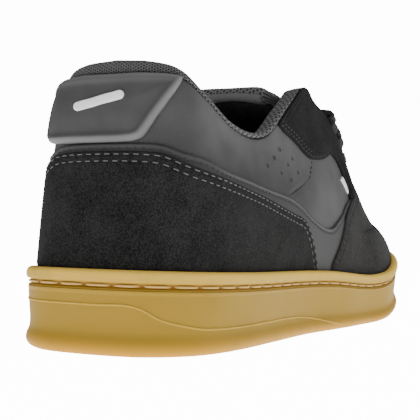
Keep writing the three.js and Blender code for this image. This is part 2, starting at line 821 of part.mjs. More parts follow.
function tonguePlace(along, across, depth) {
  const rise = tongueColumn('crown', along + nearby.along) - tongueColumn('crown', along - nearby.along);
  const slope = (tongueCrown * rise) / (2 * nearby.along * soleLength);
  const down = new THREE.Vector3(0, slope, -1).normalize();
  const x = centreAt(along) + across * tongueColumn('half', along) * tongueHalfWidth;
  const z = tongueCrown * tongueColumn('crown', along) - tongueColumn('drop', along) * across * across;
  return new THREE.Vector3(x, along * soleLength, z).addScaledVector(down, depth);
}

function tongueGeometry() {
  const last = tongueRows.length - 1;
  const rows = shares(tongueRows[last].along, tongueRows[0].along, tongueSteps.along);
  const across = shares(1, -1, tongueSteps.across);
  const face = (share) => rows.map((along) => across.map((u) => {
    const edge = 1 - 0.6 * u ** 4;
    return tonguePlace(along, u, 0.5 * tongueThickness * (1 + share * edge));
  }));
  return wallBetween(face(1), face(-1));
}

// Places of a lace from an eyelet to the throat's edge: over the eyestay, or under the upper's wall
const laceLift = clearance + overlay + clearance + 0.5 * laceThickness;

function laceOver(row, side) {
  const station = onSide(row, side);
  const hole = offLast(station, eyeletShare(row), laceLift + 0.5 * clearance);
  const edge = offLast(station, 1, laceLift + 0.5 * laceThickness);
  const outside = hole.clone().addScaledVector(hole.clone().sub(edge).normalize(), eyeletRadius);
  return [outside, hole, edge];
}

function laceUnder(row, side) {
  const station = onSide(row, side);
  const depth = -(upperWall + 2 * clearance + 0.5 * laceThickness);
  return [offLast(station, 0.9 + 0.1 * eyeletShare(row), depth), offLast(station, 1, depth)];
}

// Strand of the lace from one edge of the throat over the tongue to the other
function laceStrand(from, to, raise = 0) {
  const [start, end] = [from[from.length - 1], to[to.length - 1]];
  const middle = [0.25, 0.5, 0.75].map((share) => {
    const place = start.clone().lerp(end, share);
    const along = place.y / soleLength;
    const across = (place.x - centreAt(along)) / (tongueHalfWidth * tongueColumn('half', along));
    const face = tonguePlace(along, across, 0).z + 4 * clearance + 0.5 * laceThickness;
    place.z = Math.max(place.z, face) + raise;
    return place;
  });
  return flatCord(new THREE.CatmullRomCurve3([...from, ...middle, ...[...to].reverse()]));
}

// Space of the upper and its overlays, with a clearance, which no lace enters
function laceKeepOut() {
  const rows = [...ribShares.slice(0.5 * ribSteps), 1 + (2 * clearance) / heelHeight];
  const face = (out) => roundStations.map((station) => rows.map((v) => offLast(station, v, out)));
  return wallBetween(face(overlay + 2 * clearance), face(-upperWall - clearance), true);
}

// Crossings of the lace between each row of eyelets and the next lower one, joined: the strands come up
// over the throat's edges at the lower row and go down under them at the upper row
function laceGeometry() {
  const strands = [];
  eyeletStations.slice(1).forEach((lower, row) => {
    const start = row === eyeletRows - 2 ? laceUnder : laceOver;
    [1, -1].forEach((side) => {
      const raise = side > 0 ? 0 : 0.7 * laceThickness;
      strands.push(laceStrand(start(lower, side), laceUnder(eyeletStations[row], -side), raise));
    });
  });
  return cutAll(joinAll(strands), [laceKeepOut()]);
}

// Bar of the lace over the lowest pair of eyelets
function barGeometry() {
  const lowest = eyeletStations[eyeletRows - 1];
  return cutAll(laceStrand(laceOver(lowest, 1), laceOver(lowest, -1)), [laceKeepOut()]);
}

// Flat cord along a curve across the throat, its width along the shoe
function flatCord(curve) {
  const places = shares(0, 1, curve.points.length - 1);
  const chord = curve.getPoint(1).sub(curve.getPoint(0)).normalize();
  const throat = lastPoint(8, 1).sub(lastPoint(9, 1)).setX(0).normalize();
  const wide = throat.addScaledVector(chord, -throat.dot(chord)).normalize();
  const face = (side) => places.map((t) => {
    const centre = curve.getPoint(t);
    const thin = curve.getTangent(t).cross(wide).normalize();
    return [1, -1].map((share) => centre.clone()
      .addScaledVector(wide, 0.5 * laceWidth * share)
      .addScaledVector(thin, side * 0.5 * laceThickness));
  });
  return wallBetween(face(-1), face(1));
}

const finish = (color, roughness) => new THREE.MeshStandardMaterial({ color, roughness, metalness: 0 });
const finishes = {
  gum: finish(0xc49a5a, 0.5),
  suede: finish(0x1c1c1c, 0.95),
  leather: finish(0x3a3a3a, 0.6),
  mesh: finish(0x4a4a4a, 0.9),
  rubber: finish(0x5a5a5a, 0.55),
  cord: finish(0x202020, 0.85),
};

function piece(name, geometry, material) {
  const mesh = new THREE.Mesh(geometry, material.clone());
  mesh.name = name;
  return mesh;
}

const suedeLayer = toManifold(layerGeometry(overlay));
const leatherLayer = toManifold(layerGeometry(overlay - 0.4));
const shoe = new THREE.Group();
shoe.add(
  piece('outsole', cutAll(outsoleGeometry(), treadChannels()), finishes.gum),
  piece('insole', insoleGeometry(), finishes.mesh),
  piece('upper', cutAll(upperGeometry(), [...eyelets(1), ...eyelets(-1)]), finishes.leather),
  piece('counter', counterGeometry(suedeLayer), finishes.suede),
  piece('band', bandGeometry(leatherLayer), finishes.leather),
  piece('vamp', vampGeometry(suedeLayer), finishes.suede),
  piece('eyestay_lateral', eyestayGeometry(suedeLayer, 1), finishes.suede),
  piece('eyestay_medial', eyestayGeometry(suedeLayer, -1), finishes.suede),
  piece('heel_tab', tabGeometry(), finishes.rubber),
  piece('collar', collarGeometry(), finishes.mesh),
  piece('tongue', tongueGeometry(), finishes.mesh),
  piece('laces', laceGeometry(), finishes.cord),
  piece('lace_bar', barGeometry(), finishes.cord),
);
shoe.position.set(0.5 * (halfWidth.medialBall - halfWidth.lateralBall), -0.5 * soleLength, 0);

export default shoe;
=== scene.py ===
"""Looks of a right suede sneaker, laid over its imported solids.

Sizes are millimetres in the last's own frame: x to the lateral side, y from the back of the heel to the
toe, z up from the floor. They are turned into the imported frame's metres when a mesh is made.
"""

import logging
import math
from collections.abc import Callable, Sequence
from dataclasses import dataclass
from enum import Enum

import bpy
import numpy as np
from mathutils import Matrix


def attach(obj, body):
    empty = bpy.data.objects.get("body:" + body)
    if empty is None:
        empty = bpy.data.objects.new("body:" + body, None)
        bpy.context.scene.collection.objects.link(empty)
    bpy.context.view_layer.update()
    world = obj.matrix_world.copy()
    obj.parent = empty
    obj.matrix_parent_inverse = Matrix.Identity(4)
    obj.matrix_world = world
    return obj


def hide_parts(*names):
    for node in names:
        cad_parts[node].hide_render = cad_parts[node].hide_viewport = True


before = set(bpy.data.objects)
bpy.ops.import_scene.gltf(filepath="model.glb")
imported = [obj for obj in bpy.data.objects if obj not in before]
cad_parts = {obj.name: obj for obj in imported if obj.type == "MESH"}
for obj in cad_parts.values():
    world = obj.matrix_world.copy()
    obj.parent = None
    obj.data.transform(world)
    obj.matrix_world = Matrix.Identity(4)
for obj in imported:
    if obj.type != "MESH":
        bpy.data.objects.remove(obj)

LOG = logging.getLogger("sneaker")
MILLIMETRE = 0.001
# Distance from a cut edge, in millimetres, that stands for far from any
FAR = 10.0
# Steps of halving that find a share on a rib
HALVINGS = 24
ORIGIN = (1.4, -150.0, 0.0)

Array = np.ndarray
Rows = tuple[tuple[float, ...], ...]
Height = Callable[[Array], Array]
Relief = Callable[[Array, Array], Array]
# Points, faces by their number of corners, and pattern coordinates
Form = tuple[Array, list[Array], Array]


class Side(Enum):
    """Side of the shoe."""

    LATERAL = 1
    MEDIAL = -1


class Slot(Enum):
    """Material slots of the record."""

    GUM = "gum_rubber"
    LINING = "lining_fabric"
    LEATHER = "smooth_leather"
    SUEDE = "suede"
    RUBBER = "moulded_rubber"
    MESH = "lining_mesh"
    CORD = "lace_cord"


# Curves and vectors


def smooth(rows: Rows, at: Array, column: int = 1) -> Array:
    """Value of a table's column at its key, a cubic through the rows, held past both ends.

    Between two rows the value is the Hermite cubic whose end slopes are those of the chords between
    each row's neighbours.

    Args:
        rows: the key first in each row, then the values.
        at: keys to read at.
        column: which value to read.

    Returns:
        One value for each key.
    """
    table = np.array(rows, dtype=float)
    keys, values = table[:, 0], table[:, column]
    last = len(keys) - 1
    x = np.clip(at, keys[0], keys[-1])
    i = np.clip(np.searchsorted(keys, x, side="right") - 1, 0, last - 1)
    before = np.clip(np.arange(last + 1) - 1, 0, last)
    after = np.clip(np.arange(last + 1) + 1, 0, last)
    slopes = (values[after] - values[before]) / (keys[after] - keys[before])
    run = keys[i + 1] - keys[i]
    t = (x - keys[i]) / run
    blend = 3 * t**2 - 2 * t**3
    held = (1 - blend) * values[i] + blend * values[i + 1]
    return held + run * ((t**3 - 2 * t**2 + t) * slopes[i] + (t**3 - t**2) * slopes[i + 1])


def unit(vectors: Array) -> Array:
    """Vectors scaled to length one."""
    return vectors / np.maximum(np.linalg.norm(vectors, axis=-1, keepdims=True), 1e-9)


def ease(low: float, high: float, x: Array) -> Array:
    """Smooth step: 0 up to low, 1 from high on, 3t^2 - 2t^3 between them."""
    t = np.clip((x - low) / (high - low), 0, 1)
    return 3 * t**2 - 2 * t**3


def hump(x: Array, width: float) -> Array:
    """Gaussian hump of height one at zero: exp(-(x / width)^2)."""
    return np.exp(-((x / width) ** 2))


def arc_lengths(points: Array) -> Array:
    """Length along a line of points, 0 at its first point."""
    steps = np.linalg.norm(np.diff(points, axis=0), axis=1)
    return np.concatenate([[0.0], np.cumsum(steps)])


def resample(points: Array, at: Array, lengths: Array | None = None) -> Array:
    """Places on a line of points at shares of its length.

    Args:
        points: the line, one point a row.
        at: shares from 0 to 1.
        lengths: length along the line at each point, if it isn't measured on the points themselves.

    Returns:
        One point for each share, on the straight stretches between the points.
    """
    along = arc_lengths(points) if lengths is None else lengths
    want = np.asarray(at) * along[-1]
    return np.stack([np.interp(want, along, points[:, k]) for k in range(points.shape[1])], -1)


def catmull(a: Array, b: Array, c: Array, d: Array, t: Array) -> Array:
    """Catmull-Rom cubic from b to c, whose end slopes are half the chords from a to c and from b to d.

    Args:
        a: place before the stretch.
        b: its first place.
        c: its last place.
        d: place after it.
        t: shares along the stretch, from 0 to 1.

    Returns:
        The place at each share.
    """
    rest = (2 * a - 5 * b + 4 * c - d) * t**2 + (3 * b - a - 3 * c + d) * t**3
    return 0.5 * (2 * b + (c - a) * t + rest)


def spline(points: Sequence[Sequence[float]], count: int) -> Array:
    """Catmull-Rom curve through points, evenly spaced along its length.

    Each stretch is the cubic that passes its two points with the slopes of their neighbours' chords.

    Args:
        points: places that the curve passes.
        count: how many places to give.

    Returns:
        The places, with both ends among them.
    """
    p = np.array(points, dtype=float)
    p = np.vstack([2 * p[0] - p[1], p, 2 * p[-1] - p[-2]])
    t = np.linspace(0, 1, 12, endpoint=False)[None, :, None]
    a, b, c, d = (p[k : len(p) - 3 + k, None, :] for k in range(4))
    curve = catmull(a, b, c, d, t)
    line = np.vstack([curve.reshape(-1, p.shape[1]), p[-2]])
    return resample(line, np.linspace(0, 1, count))


def spread(length: float, fine: float, coarse: float, near: float = 7.0, both: bool = True) -> Array:
    """Shares of a length, close together near one or both ends and wide apart between.

    Args:
        length: the length that the shares divide.
        fine: spacing near an end.
        coarse: spacing in the middle.
        near: how far from an end the fine spacing holds.
        both: whether the far end is fine too.

    Returns:
        Rising shares from 0 to 1: the sum of steps that grow smoothly from fine to coarse.
    """
    fine_at = np.linspace(0, length, 2000)
    from_end = np.minimum(fine_at, length - fine_at) if both else fine_at
    density = 1 / (fine + (coarse - fine) * ease(near, 2 * near, from_end))
    total = np.concatenate([[0], np.cumsum(0.5 * (density[1:] + density[:-1]) * np.diff(fine_at))])
    count = max(4, int(math.ceil(total[-1])))
    return np.interp(np.linspace(0, total[-1], count + 1), total, fine_at) / length


def distance_to_line(points: Array, line: Array) -> Array:
    """Shortest distance from each point to a line of points.

    For each straight stretch the nearest place is the point's share along it, kept between 0 and 1.

    Args:
        points: places, any number of leading axes.
        line: places along the line.

    Returns:
        One distance for each point.
    """
    flat = points.reshape(-1, 3)
    start, step = line[:-1], np.diff(line, axis=0)
    square = np.maximum((step**2).sum(-1), 1e-12)
    best = np.empty(len(flat))
    for first in range(0, len(flat), 1500):
        away = flat[first : first + 1500, None, :] - start[None]
        share = np.clip((away * step).sum(-1) / square, 0, 1)
        best[first : first + 1500] = np.sqrt(((away - share[..., None] * step) ** 2).sum(-1).min(1))
    return best.reshape(points.shape[:-1])


# The last


@dataclass(frozen=True)
class Last:
    """The foot form in the shoe, whose surface every panel lies on.

    A place on it is a station, counted round the sole's outline from the back of the heel by the lateral
    side, and a share v up the rib there: -1 on the cup's floor, 0 at the sole's lip, 1 at the top line.
    """

    length: float = 300.0
    tip: int = 13
    count: int = 26
    feather: float = 5.0
    clearance: float = 0.3
    fullness: float = 2.6
    heel_height: float = 101.0
    heel_width: float = 42.4
    lateral_waist: float = 41.8
    medial_waist: float = 36.0
    lateral_ball: float = 49.2
    medial_ball: float = 52.0
    toe_shift: float = -8.0
    spring_rows: Rows = (
        (0, 0), (0.65, 0), (0.717, 1), (0.783, 3.5), (0.833, 6), (0.9, 9), (1, 12.5),
    )
    arch_rows: Rows = ((0.26, 0), (0.36, 1.6), (0.44, 2), (0.52, 1.2), (0.58, 0))
    wall_rows: Rows = ((0, 30.7), (0.2, 29.35), (0.467, 28), (0.667, 24.8), (1, 28.3))
    floor_rows: Rows = ((0, 15), (0.3, 15), (0.65, 9.5), (1, 9.5))
    centre_rows: Rows = ((0, 4), (0.09, 4), (0.22, 0), (0.5, 0), (0.72, -2.8), (1, -8))
    # station, half width, share of the length, height, lower handle out and up, upper handle out and up
    rib_rows: Rows = (
        (0, 0, 0.037, 101, -1.5, 0.3, 0, 0.55),
        (1, 13.65, 0.041, 101, -1.5, 0.3, 0.5, 0.6),
        (2, 24.15, 0.06, 99.5, -1.5, 0.3, 4, 0.78),
        (3, 29.4, 0.09, 93.4, -0.5, 0.3, 5, 0.8),
        (4, 33.25, 0.16, 84.5, 1, 0.35, 3, 0.7),
        (5, 35, 0.267, 84, 2, 0.35, 2.5, 0.65),
        (6, 33, 0.373, 101.2, 2.5, 0.35, 3, 0.68),
        (6.5, 31, 0.44, 112, 2.5, 0.35, 3, 0.68),
        (7, 29, 0.495, 108.1, 2.5, 0.36, 4, 0.72),
        (8, 27.55, 0.573, 99.1, 1.5, 0.36, 6, 0.76),
        (9, 23.2, 0.645, 83.4, 0.5, 0.34, 8, 0.8),
        (10, 17.4, 0.69, 67.8, -1, 0.34, 13, 0.84),
        (11, 11.6, 0.717, 64.6, -0.5, 0.4, 20, 0.84),
        (12, 5.8, 0.73, 64.1, 0.5, 0.5, 27, 0.8),
        (13, 0, 0.734, 64, 1, 0.6, 30, 0.78),
    )

    def outline_points(self) -> Array:
        """Corners of the sole's outline: widths across, shares of the length along.

        Returns:
            One corner for each station.
        """
        heel, ball, inner = self.heel_width, self.lateral_ball, self.medial_ball
        waist, arch = self.lateral_waist, self.medial_waist
        rows = (
            (0, 0), (0.46 * heel, 0.009), (0.76 * heel, 0.042), (0.93 * heel, 0.09), (heel, 0.173),
            (1.005 * waist, 0.3), (waist, 0.417), (0.925 * ball, 0.543), (0.955 * ball, 0.633),
            (ball, 0.727), (0.9 * ball, 0.827), (0.68 * ball, 0.907), (0.36 * ball, 0.97),
            (self.toe_shift, 1), (-0.594 * inner, 0.973), (-0.85 * inner, 0.907),
            (-0.985 * inner, 0.827), (-inner, 0.74), (-0.93 * inner, 0.633), (-0.846 * inner, 0.543),
            (-arch, 0.417), (-1.089 * arch, 0.3), (-heel, 0.173), (-0.93 * heel, 0.09),
            (-0.76 * heel, 0.042), (-0.46 * heel, 0.009),
        )
        return np.array(rows) * (1, self.length)

    def outline(self, station: Array) -> Array:
        """Outline at stations: a closed Catmull-Rom curve through its corners.

        Args:
            station: stations, any shape.

        Returns:
            Places on the floor plan, two numbers each.
        """
        points = self.outline_points()
        wrapped = np.mod(station, self.count)
        i = np.floor(wrapped).astype(int)
        t = (wrapped - i)[..., None]
        a, b, c, d = (points[(i + k) % self.count] for k in (-1, 0, 1, 2))
        return catmull(a, b, c, d, t)

    def outline_normal(self, station: Array) -> Array:
        """Outward normal of the outline: its slope turned by a quarter."""
        ahead = self.outline(np.add(station, 0.01)) - self.outline(np.subtract(station, 0.01))
        return unit(np.stack([ahead[..., 1], -ahead[..., 0]], -1))

    def beside(self, station: Array, out: Array, height: Height) -> Array:
        """Outline moved outwards, at a height that is worked out from the share of the length."""
        flat = self.outline(station) + np.asarray(out)[..., None] * self.outline_normal(station)
        return np.concatenate([flat, height(flat[..., 1] / self.length)[..., None]], -1)

    def spring(self, along: Array) -> Array:
        """Height of the sole's underside over the floor."""
        return np.maximum(0, smooth(self.spring_rows, along))

    def arch(self, along: Array) -> Array:
        """Rise of the tread under the waist."""
        return smooth(self.arch_rows, along)

    def wall(self, along: Array) -> Array:
        """Height of the sole's side."""
        return smooth(self.wall_rows, along)

    def lip(self, along: Array) -> Array:
        """Height of the sole's lip over the floor."""
        return self.spring(along) + self.wall(along)

    def floor(self, along: Array) -> Array:
        """Height of the cup's floor."""
        return self.spring(along) + smooth(self.floor_rows, along)

    def rib(self, station: Array) -> tuple[Array, Array, Array, Array]:
        """Four control points of the cubic rib at each station.

        Args:
            station: stations, any shape.

        Returns:
            Foot, lower handle, upper handle and top of each rib.
        """
        wrapped = np.mod(station, self.count)
        side = np.where(wrapped <= self.tip, 1, -1)
        row = np.where(side > 0, wrapped, self.count - wrapped)
        half, along, up, out1, rise1, out2, rise2 = (smooth(self.rib_rows, row, k) for k in range(1, 8))
        foot = self.beside(wrapped, np.full_like(row, -self.feather), self.lip)
        top = np.stack([side * half + smooth(self.centre_rows, along), along * self.length, up], -1)
        normal = self.outline_normal(wrapped)
        rise = top[..., 2] - foot[..., 2]

        def handle(start: Array, out: Array, share: Array) -> Array:
            """Handle beside a rib's end, out along the outline's normal and up by a share of its height."""
            flat = start[..., :2] + out[..., None] * normal
            return np.concatenate([flat, (foot[..., 2] + share * rise)[..., None]], -1)

        return foot, handle(foot, out1, rise1), handle(top, out2, rise2), top

    def point(self, station: Array, v: Array) -> Array:
        """Place on the last: a cubic curve up each rib, straight down inside the cup below v = 0.

        The sides of the throat are a little fuller: they move out and up by the fullness times a soft
        window along the stations and up the rib.

        Args:
            station: stations.
            v: shares up the rib.

        Returns:
            One place for each pair.
        """
        station, v = np.broadcast_arrays(np.asarray(station, float), np.asarray(v, float))
        foot, low, high, top = self.rib(station)
        up = np.maximum(v, 0)[..., None]
        w = 1 - up
        place = w**3 * foot + 3 * w**2 * up * low + 3 * w * up**2 * high + up**3 * top
        floor = self.floor(foot[..., 1] / self.length) + self.clearance
        place[..., 2] += np.minimum(v, 0) * (foot[..., 2] - floor)
        wrapped = np.mod(station, self.count)
        row = np.minimum(wrapped, self.count - wrapped)
        window = ease(6.8, 8.3, row) * (1 - ease(9.3, 10.7, row)) * ease(0.35, 0.9, v)
        flat = self.fullness * window[..., None] * self.outline_normal(wrapped)
        return place + np.concatenate([0.85 * flat, 0.5 * self.fullness * window[..., None]], -1)

    def normal(self, station: Array, v: Array) -> Array:
        """Outward normal of the last, level inside the cup.

        Args:
            station: stations.
            v: shares up the rib.

        Returns:
            The cross product of the slopes along and up, scaled to one.
        """
        station, v = np.broadcast_arrays(np.asarray(station, float), np.asarray(v, float))
        low = np.clip(v, 0.02, 0.98)
        along = self.point(station + 0.05, low) - self.point(station - 0.05, low)
        up = self.point(station, low + 0.02) - self.point(station, low - 0.02)
        normal = unit(np.cross(along, up))
        normal[..., 2] *= ease(-0.08, 0, v)
        return unit(normal)

    def off(self, station: Array, v: Array, lift: Array) -> Array:
        """Place off the last's surface, outwards by lift."""
        return self.point(station, v) + np.asarray(lift)[..., None] * self.normal(station, v)

    def share_under(self, station: Array, edge: Height) -> Array:
        """Share of each rib at which it reaches an edge's height, found by halving.

        Args:
            station: stations.
            edge: height of the edge by the share of the length.

        Returns:
            One share for each station.
        """
        station = np.asarray(station, float)
        low, high = np.zeros_like(station), np.ones_like(station)
        for _ in range(HALVINGS):
            middle = 0.5 * (low + high)
            place = self.point(station, middle)
            over = place[..., 2] > edge(place[..., 1] / self.length)
            high = np.where(over, middle, high)
            low = np.where(over, low, middle)
        return 0.5 * (low + high)

    def share_at(self, station: Array, height: float) -> Array:
        """Share of each rib at a height over the floor."""
        return self.share_under(station, lambda along: np.full_like(along, height))

    def share_below(self, station: Array, depth: float) -> Array:
        """Share of each rib at a straight distance from its top, found by halving.

        Args:
            station: stations.
            depth: the distance, in millimetres.

        Returns:
            One share for each station.
        """
        top = self.point(station, 1.0)
        low, high = np.full_like(station, 0.1), np.ones_like(station)
        for _ in range(HALVINGS):
            middle = 0.5 * (low + high)
            far = np.linalg.norm(self.point(station, middle) - top, axis=-1) > depth
            low, high = np.where(far, middle, low), np.where(far, high, middle)
        return low

    def locate(
        self,
        places: Sequence[Sequence[float]],
        side: Side,
        axes: tuple[int, int] = (1, 2),
        reach: float = 13.0,
    ) -> Array:
        """Stations and shares of places that are given by two of their coordinates.

        Starts from the nearest of a grid of places and takes Newton steps on the two coordinates.

        Args:
            places: two coordinates of each place.
            side: side of the shoe to look on.
            axes: which coordinates they are, 0 for x, 1 for y and 2 for z.
            reach: how many stations from the heel to look.

        Returns:
            One row of station and share for each place, with medial stations at the heel below zero.
        """
        want = np.array(places, dtype=float)
        keep = list(axes)
        first, last = (0.0, reach) if side is Side.LATERAL else (-reach, 0.0)
        grid_s, grid_v = np.meshgrid(np.linspace(first, last, 131), np.linspace(0, 1, 41), indexing="ij")
        grid = self.point(grid_s, grid_v)[..., keep].reshape(-1, 2)
        nearest = ((want[:, None] - grid[None]) ** 2).sum(-1).argmin(1)
        s, v = grid_s.ravel()[nearest], grid_v.ravel()[nearest]
        for _ in range(14):
            here = self.point(s, v)[..., keep]
            by_s = (self.point(s + 0.01, v)[..., keep] - here) / 0.01
            by_v = (self.point(s, v + 0.005)[..., keep] - here) / 0.005
            miss = want - here
            det = by_s[:, 0] * by_v[:, 1] - by_s[:, 1] * by_v[:, 0]
            det = np.where(np.abs(det) < 1e-3, 1e-3, det)
            step_s = (miss[:, 0] * by_v[:, 1] - miss[:, 1] * by_v[:, 0]) / det
            step_v = (by_s[:, 0] * miss[:, 1] - by_s[:, 1] * miss[:, 0]) / det
            s = np.clip(s + np.clip(step_s, -0.3, 0.3), first, last)
            v = np.clip(v + np.clip(step_v, -0.1, 0.1), -0.2, 1.02)
        return np.stack([s, v], -1)

    def moved(self, line: Array, inwards: float) -> Array:
        """Line on the last moved sideways on the surface, to the left of its run as seen from outside.

        The move in space is solved for steps of station and share by least squares.

        Args:
            line: rows of station and share.
            inwards: how far, in millimetres.

        Returns:
            The moved line, as rows of station and share.
        """
        s, v = line[:, 0], line[:, 1]
        here = self.point(s, v)
        ahead = unit(np.gradient(here, axis=0))
        left = unit(np.cross(self.normal(s, v), ahead)) * inwards
        by_s = (self.point(s + 0.01, v) - self.point(s - 0.01, v)) / 0.02
        by_v = (self.point(s, np.minimum(v + 0.005, 1)) - self.point(s, np.minimum(v, 0.995) - 0.005)) / 0.01
        a, b, c = (by_s**2).sum(-1), (by_s * by_v).sum(-1), (by_v**2).sum(-1)
        p, q = (by_s * left).sum(-1), (by_v * left).sum(-1)
        det = np.maximum(a * c - b * b, 1e-6)
        return np.stack([s + (p * c - q * b) / det, v + (a * q - b * p) / det], -1)


LAST = Last()


# Meshes


def grid_faces(
    rows: int, columns: int, first: int = 0, wrap_rows: bool = False, wrap_columns: bool = False,
) -> Array:
    """Four-sided faces of a grid of points counted row by row.

    Args:
        rows: how many rows of points.
        columns: how many points in a row.
        first: index of the grid's first point.
        wrap_rows: whether the last row joins the first.
        wrap_columns: whether the last point of a row joins its first.

    Returns:
        Point indices, one face a row.
    """
    i = np.arange(rows if wrap_rows else rows - 1)[:, None]
    j = np.arange(columns if wrap_columns else columns - 1)[None]
    i2, j2 = (i + 1) % rows, (j + 1) % columns
    corners = (i * columns + j, i2 * columns + j, i2 * columns + j2, i * columns + j2)
    return first + np.stack(np.broadcast_arrays(*corners), -1).reshape(-1, 4)


def shell_faces(rows: int, columns: int, round_rows: bool = False) -> Array:
    """Faces of a closed shell: an outer grid, an inner grid of the same size, and the strip between.

    Args:
        rows: how many rows of points each grid has.
        columns: how many points in a row.
        round_rows: whether the last row joins the first.

    Returns:
        Point indices, one face a row.
    """
    outer = grid_faces(rows, columns, 0, round_rows)
    inner = grid_faces(rows, columns, rows * columns, round_rows)[:, ::-1]
    side = np.arange(rows) * columns
    if round_rows:
        loops = [side[::-1], side + columns - 1]
    else:
        top = np.arange(columns)
        far = (top + (rows - 1) * columns)[::-1]
        loops = [np.concatenate([top, side[1:] + columns - 1, far[1:], side[::-1][1:-1]])]
    strips = []
    for loop in loops:
        after = np.roll(loop, -1)
        strips.append(np.stack([loop, after, after + rows * columns, loop + rows * columns], -1))
    return np.concatenate([outer, inner, *strips])


def shell(outer: Array, inner: Array, round_rows: bool = False) -> tuple[Array, Array]:
    """Points and faces of a closed shell between two grids of places."""
    points = np.concatenate([outer.reshape(-1, 3), inner.reshape(-1, 3)])
    return points, shell_faces(*outer.shape[:2], round_rows)


def ringed(count: int, steps: int) -> list[Array]:
    """Faces of a band of rings, closed over its first and last ring by rungs from side to side.

    Args:
        count: how many points a ring has.
        steps: how many rings.

    Returns:
        Faces with four corners, and faces with three.
    """
    band = grid_faces(count, steps, 0, True, False)
    i = np.arange(count // 2)
    ladder = np.stack([i, i + 1, count - i - 1, (count - i) % count], -1) * steps
    quads, ends = ladder[1:-1], np.stack([ladder[0][:3], ladder[-1][[0, 1, 3]]])
    return [
        np.concatenate([band, quads[:, ::-1], quads + steps - 1]),
        np.concatenate([ends[:, ::-1], ends + steps - 1]),
    ]


def end_caps(rings: int, sides: int) -> Array:
    """Faces over the first and the last ring of a tube."""
    ring = np.arange(sides)
    return np.stack([ring, ring[::-1] + (rings - 1) * sides])


def signed_volume(points: Array, faces: Sequence[Array]) -> float:
    """Volume inside closed faces, below zero if they point inwards: a sixth of the sum of a . (b x c).

    Args:
        points: places.
        faces: indices, one array for each number of corners.

    Returns:
        The volume in cubic millimetres.
    """
    total = 0.0
    for group in faces:
        a = points[group[:, 0]]
        for k in range(1, group.shape[1] - 1):
            b, c = points[group[:, k]], points[group[:, k + 1]]
            total += (a * np.cross(b, c)).sum()
    return total / 6


def make_object(
    name: str,
    points: Array,
    faces: Array | Sequence[Array],
    uv: Array | None = None,
    marks: dict[str, Array] | None = None,
) -> bpy.types.Object:
    """Object from points in millimetres in the last's frame.

    Args:
        name: the piece's name.
        points: places, any number of leading axes.
        faces: indices, one array for each number of corners.
        uv: place of each point on the pattern, in millimetres.
        marks: values of each point that materials read, by name.

    Returns:
        The new object, in the scene, with smooth faces that point outwards.
    """
    places = points.reshape(-1, 3)
    groups = [faces] if isinstance(faces, np.ndarray) else list(faces)
    if signed_volume(places, groups) < 0:
        groups = [group[:, ::-1] for group in groups]
    mesh = bpy.data.meshes.new(name)
    corners = np.concatenate([group.ravel() for group in groups]).astype(np.int32)
    sizes = np.concatenate([np.full(len(group), group.shape[1]) for group in groups])
    starts = np.concatenate([[0], np.cumsum(sizes)[:-1]]).astype(np.int32)
    mesh.vertices.add(len(places))
    mesh.vertices.foreach_set("co", ((places + ORIGIN) * MILLIMETRE).astype(np.float32).ravel())
    mesh.loops.add(len(corners))
    mesh.loops.foreach_set("vertex_index", corners)
    mesh.polygons.add(len(sizes))
    mesh.polygons.foreach_set("loop_start", starts)
    mesh.polygons.foreach_set("use_smooth", np.ones(len(sizes), dtype=bool))
    if uv is not None:
        layer = mesh.uv_layers.new(name="Pattern")
        layer.data.foreach_set("uv", uv.reshape(-1, 2)[corners].astype(np.float32).ravel())
    for key, values in (marks or {}).items():
        attribute = mesh.attributes.new(key, "FLOAT", "POINT")
        attribute.data.foreach_set("value", np.asarray(values, dtype=np.float32).ravel())
    mesh.update(calc_edges=True)
    mesh.validate()
    made = bpy.data.objects.new(name, mesh)
    bpy.context.scene.collection.objects.link(made)
    return made


def swept(
    path: Array, wide: Array, thin: Array, section: Array, closed: bool = False,
) -> tuple[Array, list[Array]]:
    """Tube along paths: at each place the section's two numbers times the wide and the thin vector.

    Args:
        path: places, shaped (tubes, steps, 3).
        wide: vectors of the section's first direction, already as long as its half width.
        thin: vectors of its second direction, as long as its half thickness.
        section: closed outline of the section, shaped (sides, 2).
        closed: whether each path comes back to its start.

    Returns:
        The points, and faces with four corners and, where the paths are open, their end caps.
    """
    tubes, steps, _ = path.shape
    sides = len(section)
    points = (
        path[:, :, None]
        + wide[:, :, None] * section[None, None, :, :1]
        + thin[:, :, None] * section[None, None, :, 1:]
    )
    base = grid_faces(steps, sides, 0, closed, True)
    shift = (np.arange(tubes) * steps * sides)[:, None, None]
    groups = [(base[None] + shift).reshape(-1, 4)]
    if not closed:
        groups.append((end_caps(steps, sides)[None] + shift).reshape(-1, sides))
    return points.reshape(-1, 3), groups


def oval(sides: int, square: float = 1.0) -> Array:
    """Closed oval section: cosine and sine raised to a power, which squares it off below one.

    Args:
        sides: how many points.
        square: the power.

    Returns:
        The section, one point a row.
    """
    angle = np.linspace(0, 2 * np.pi, sides, endpoint=False)
    ring = np.stack([np.cos(angle), np.sin(angle)], -1)
    return np.sign(ring) * np.abs(ring) ** square


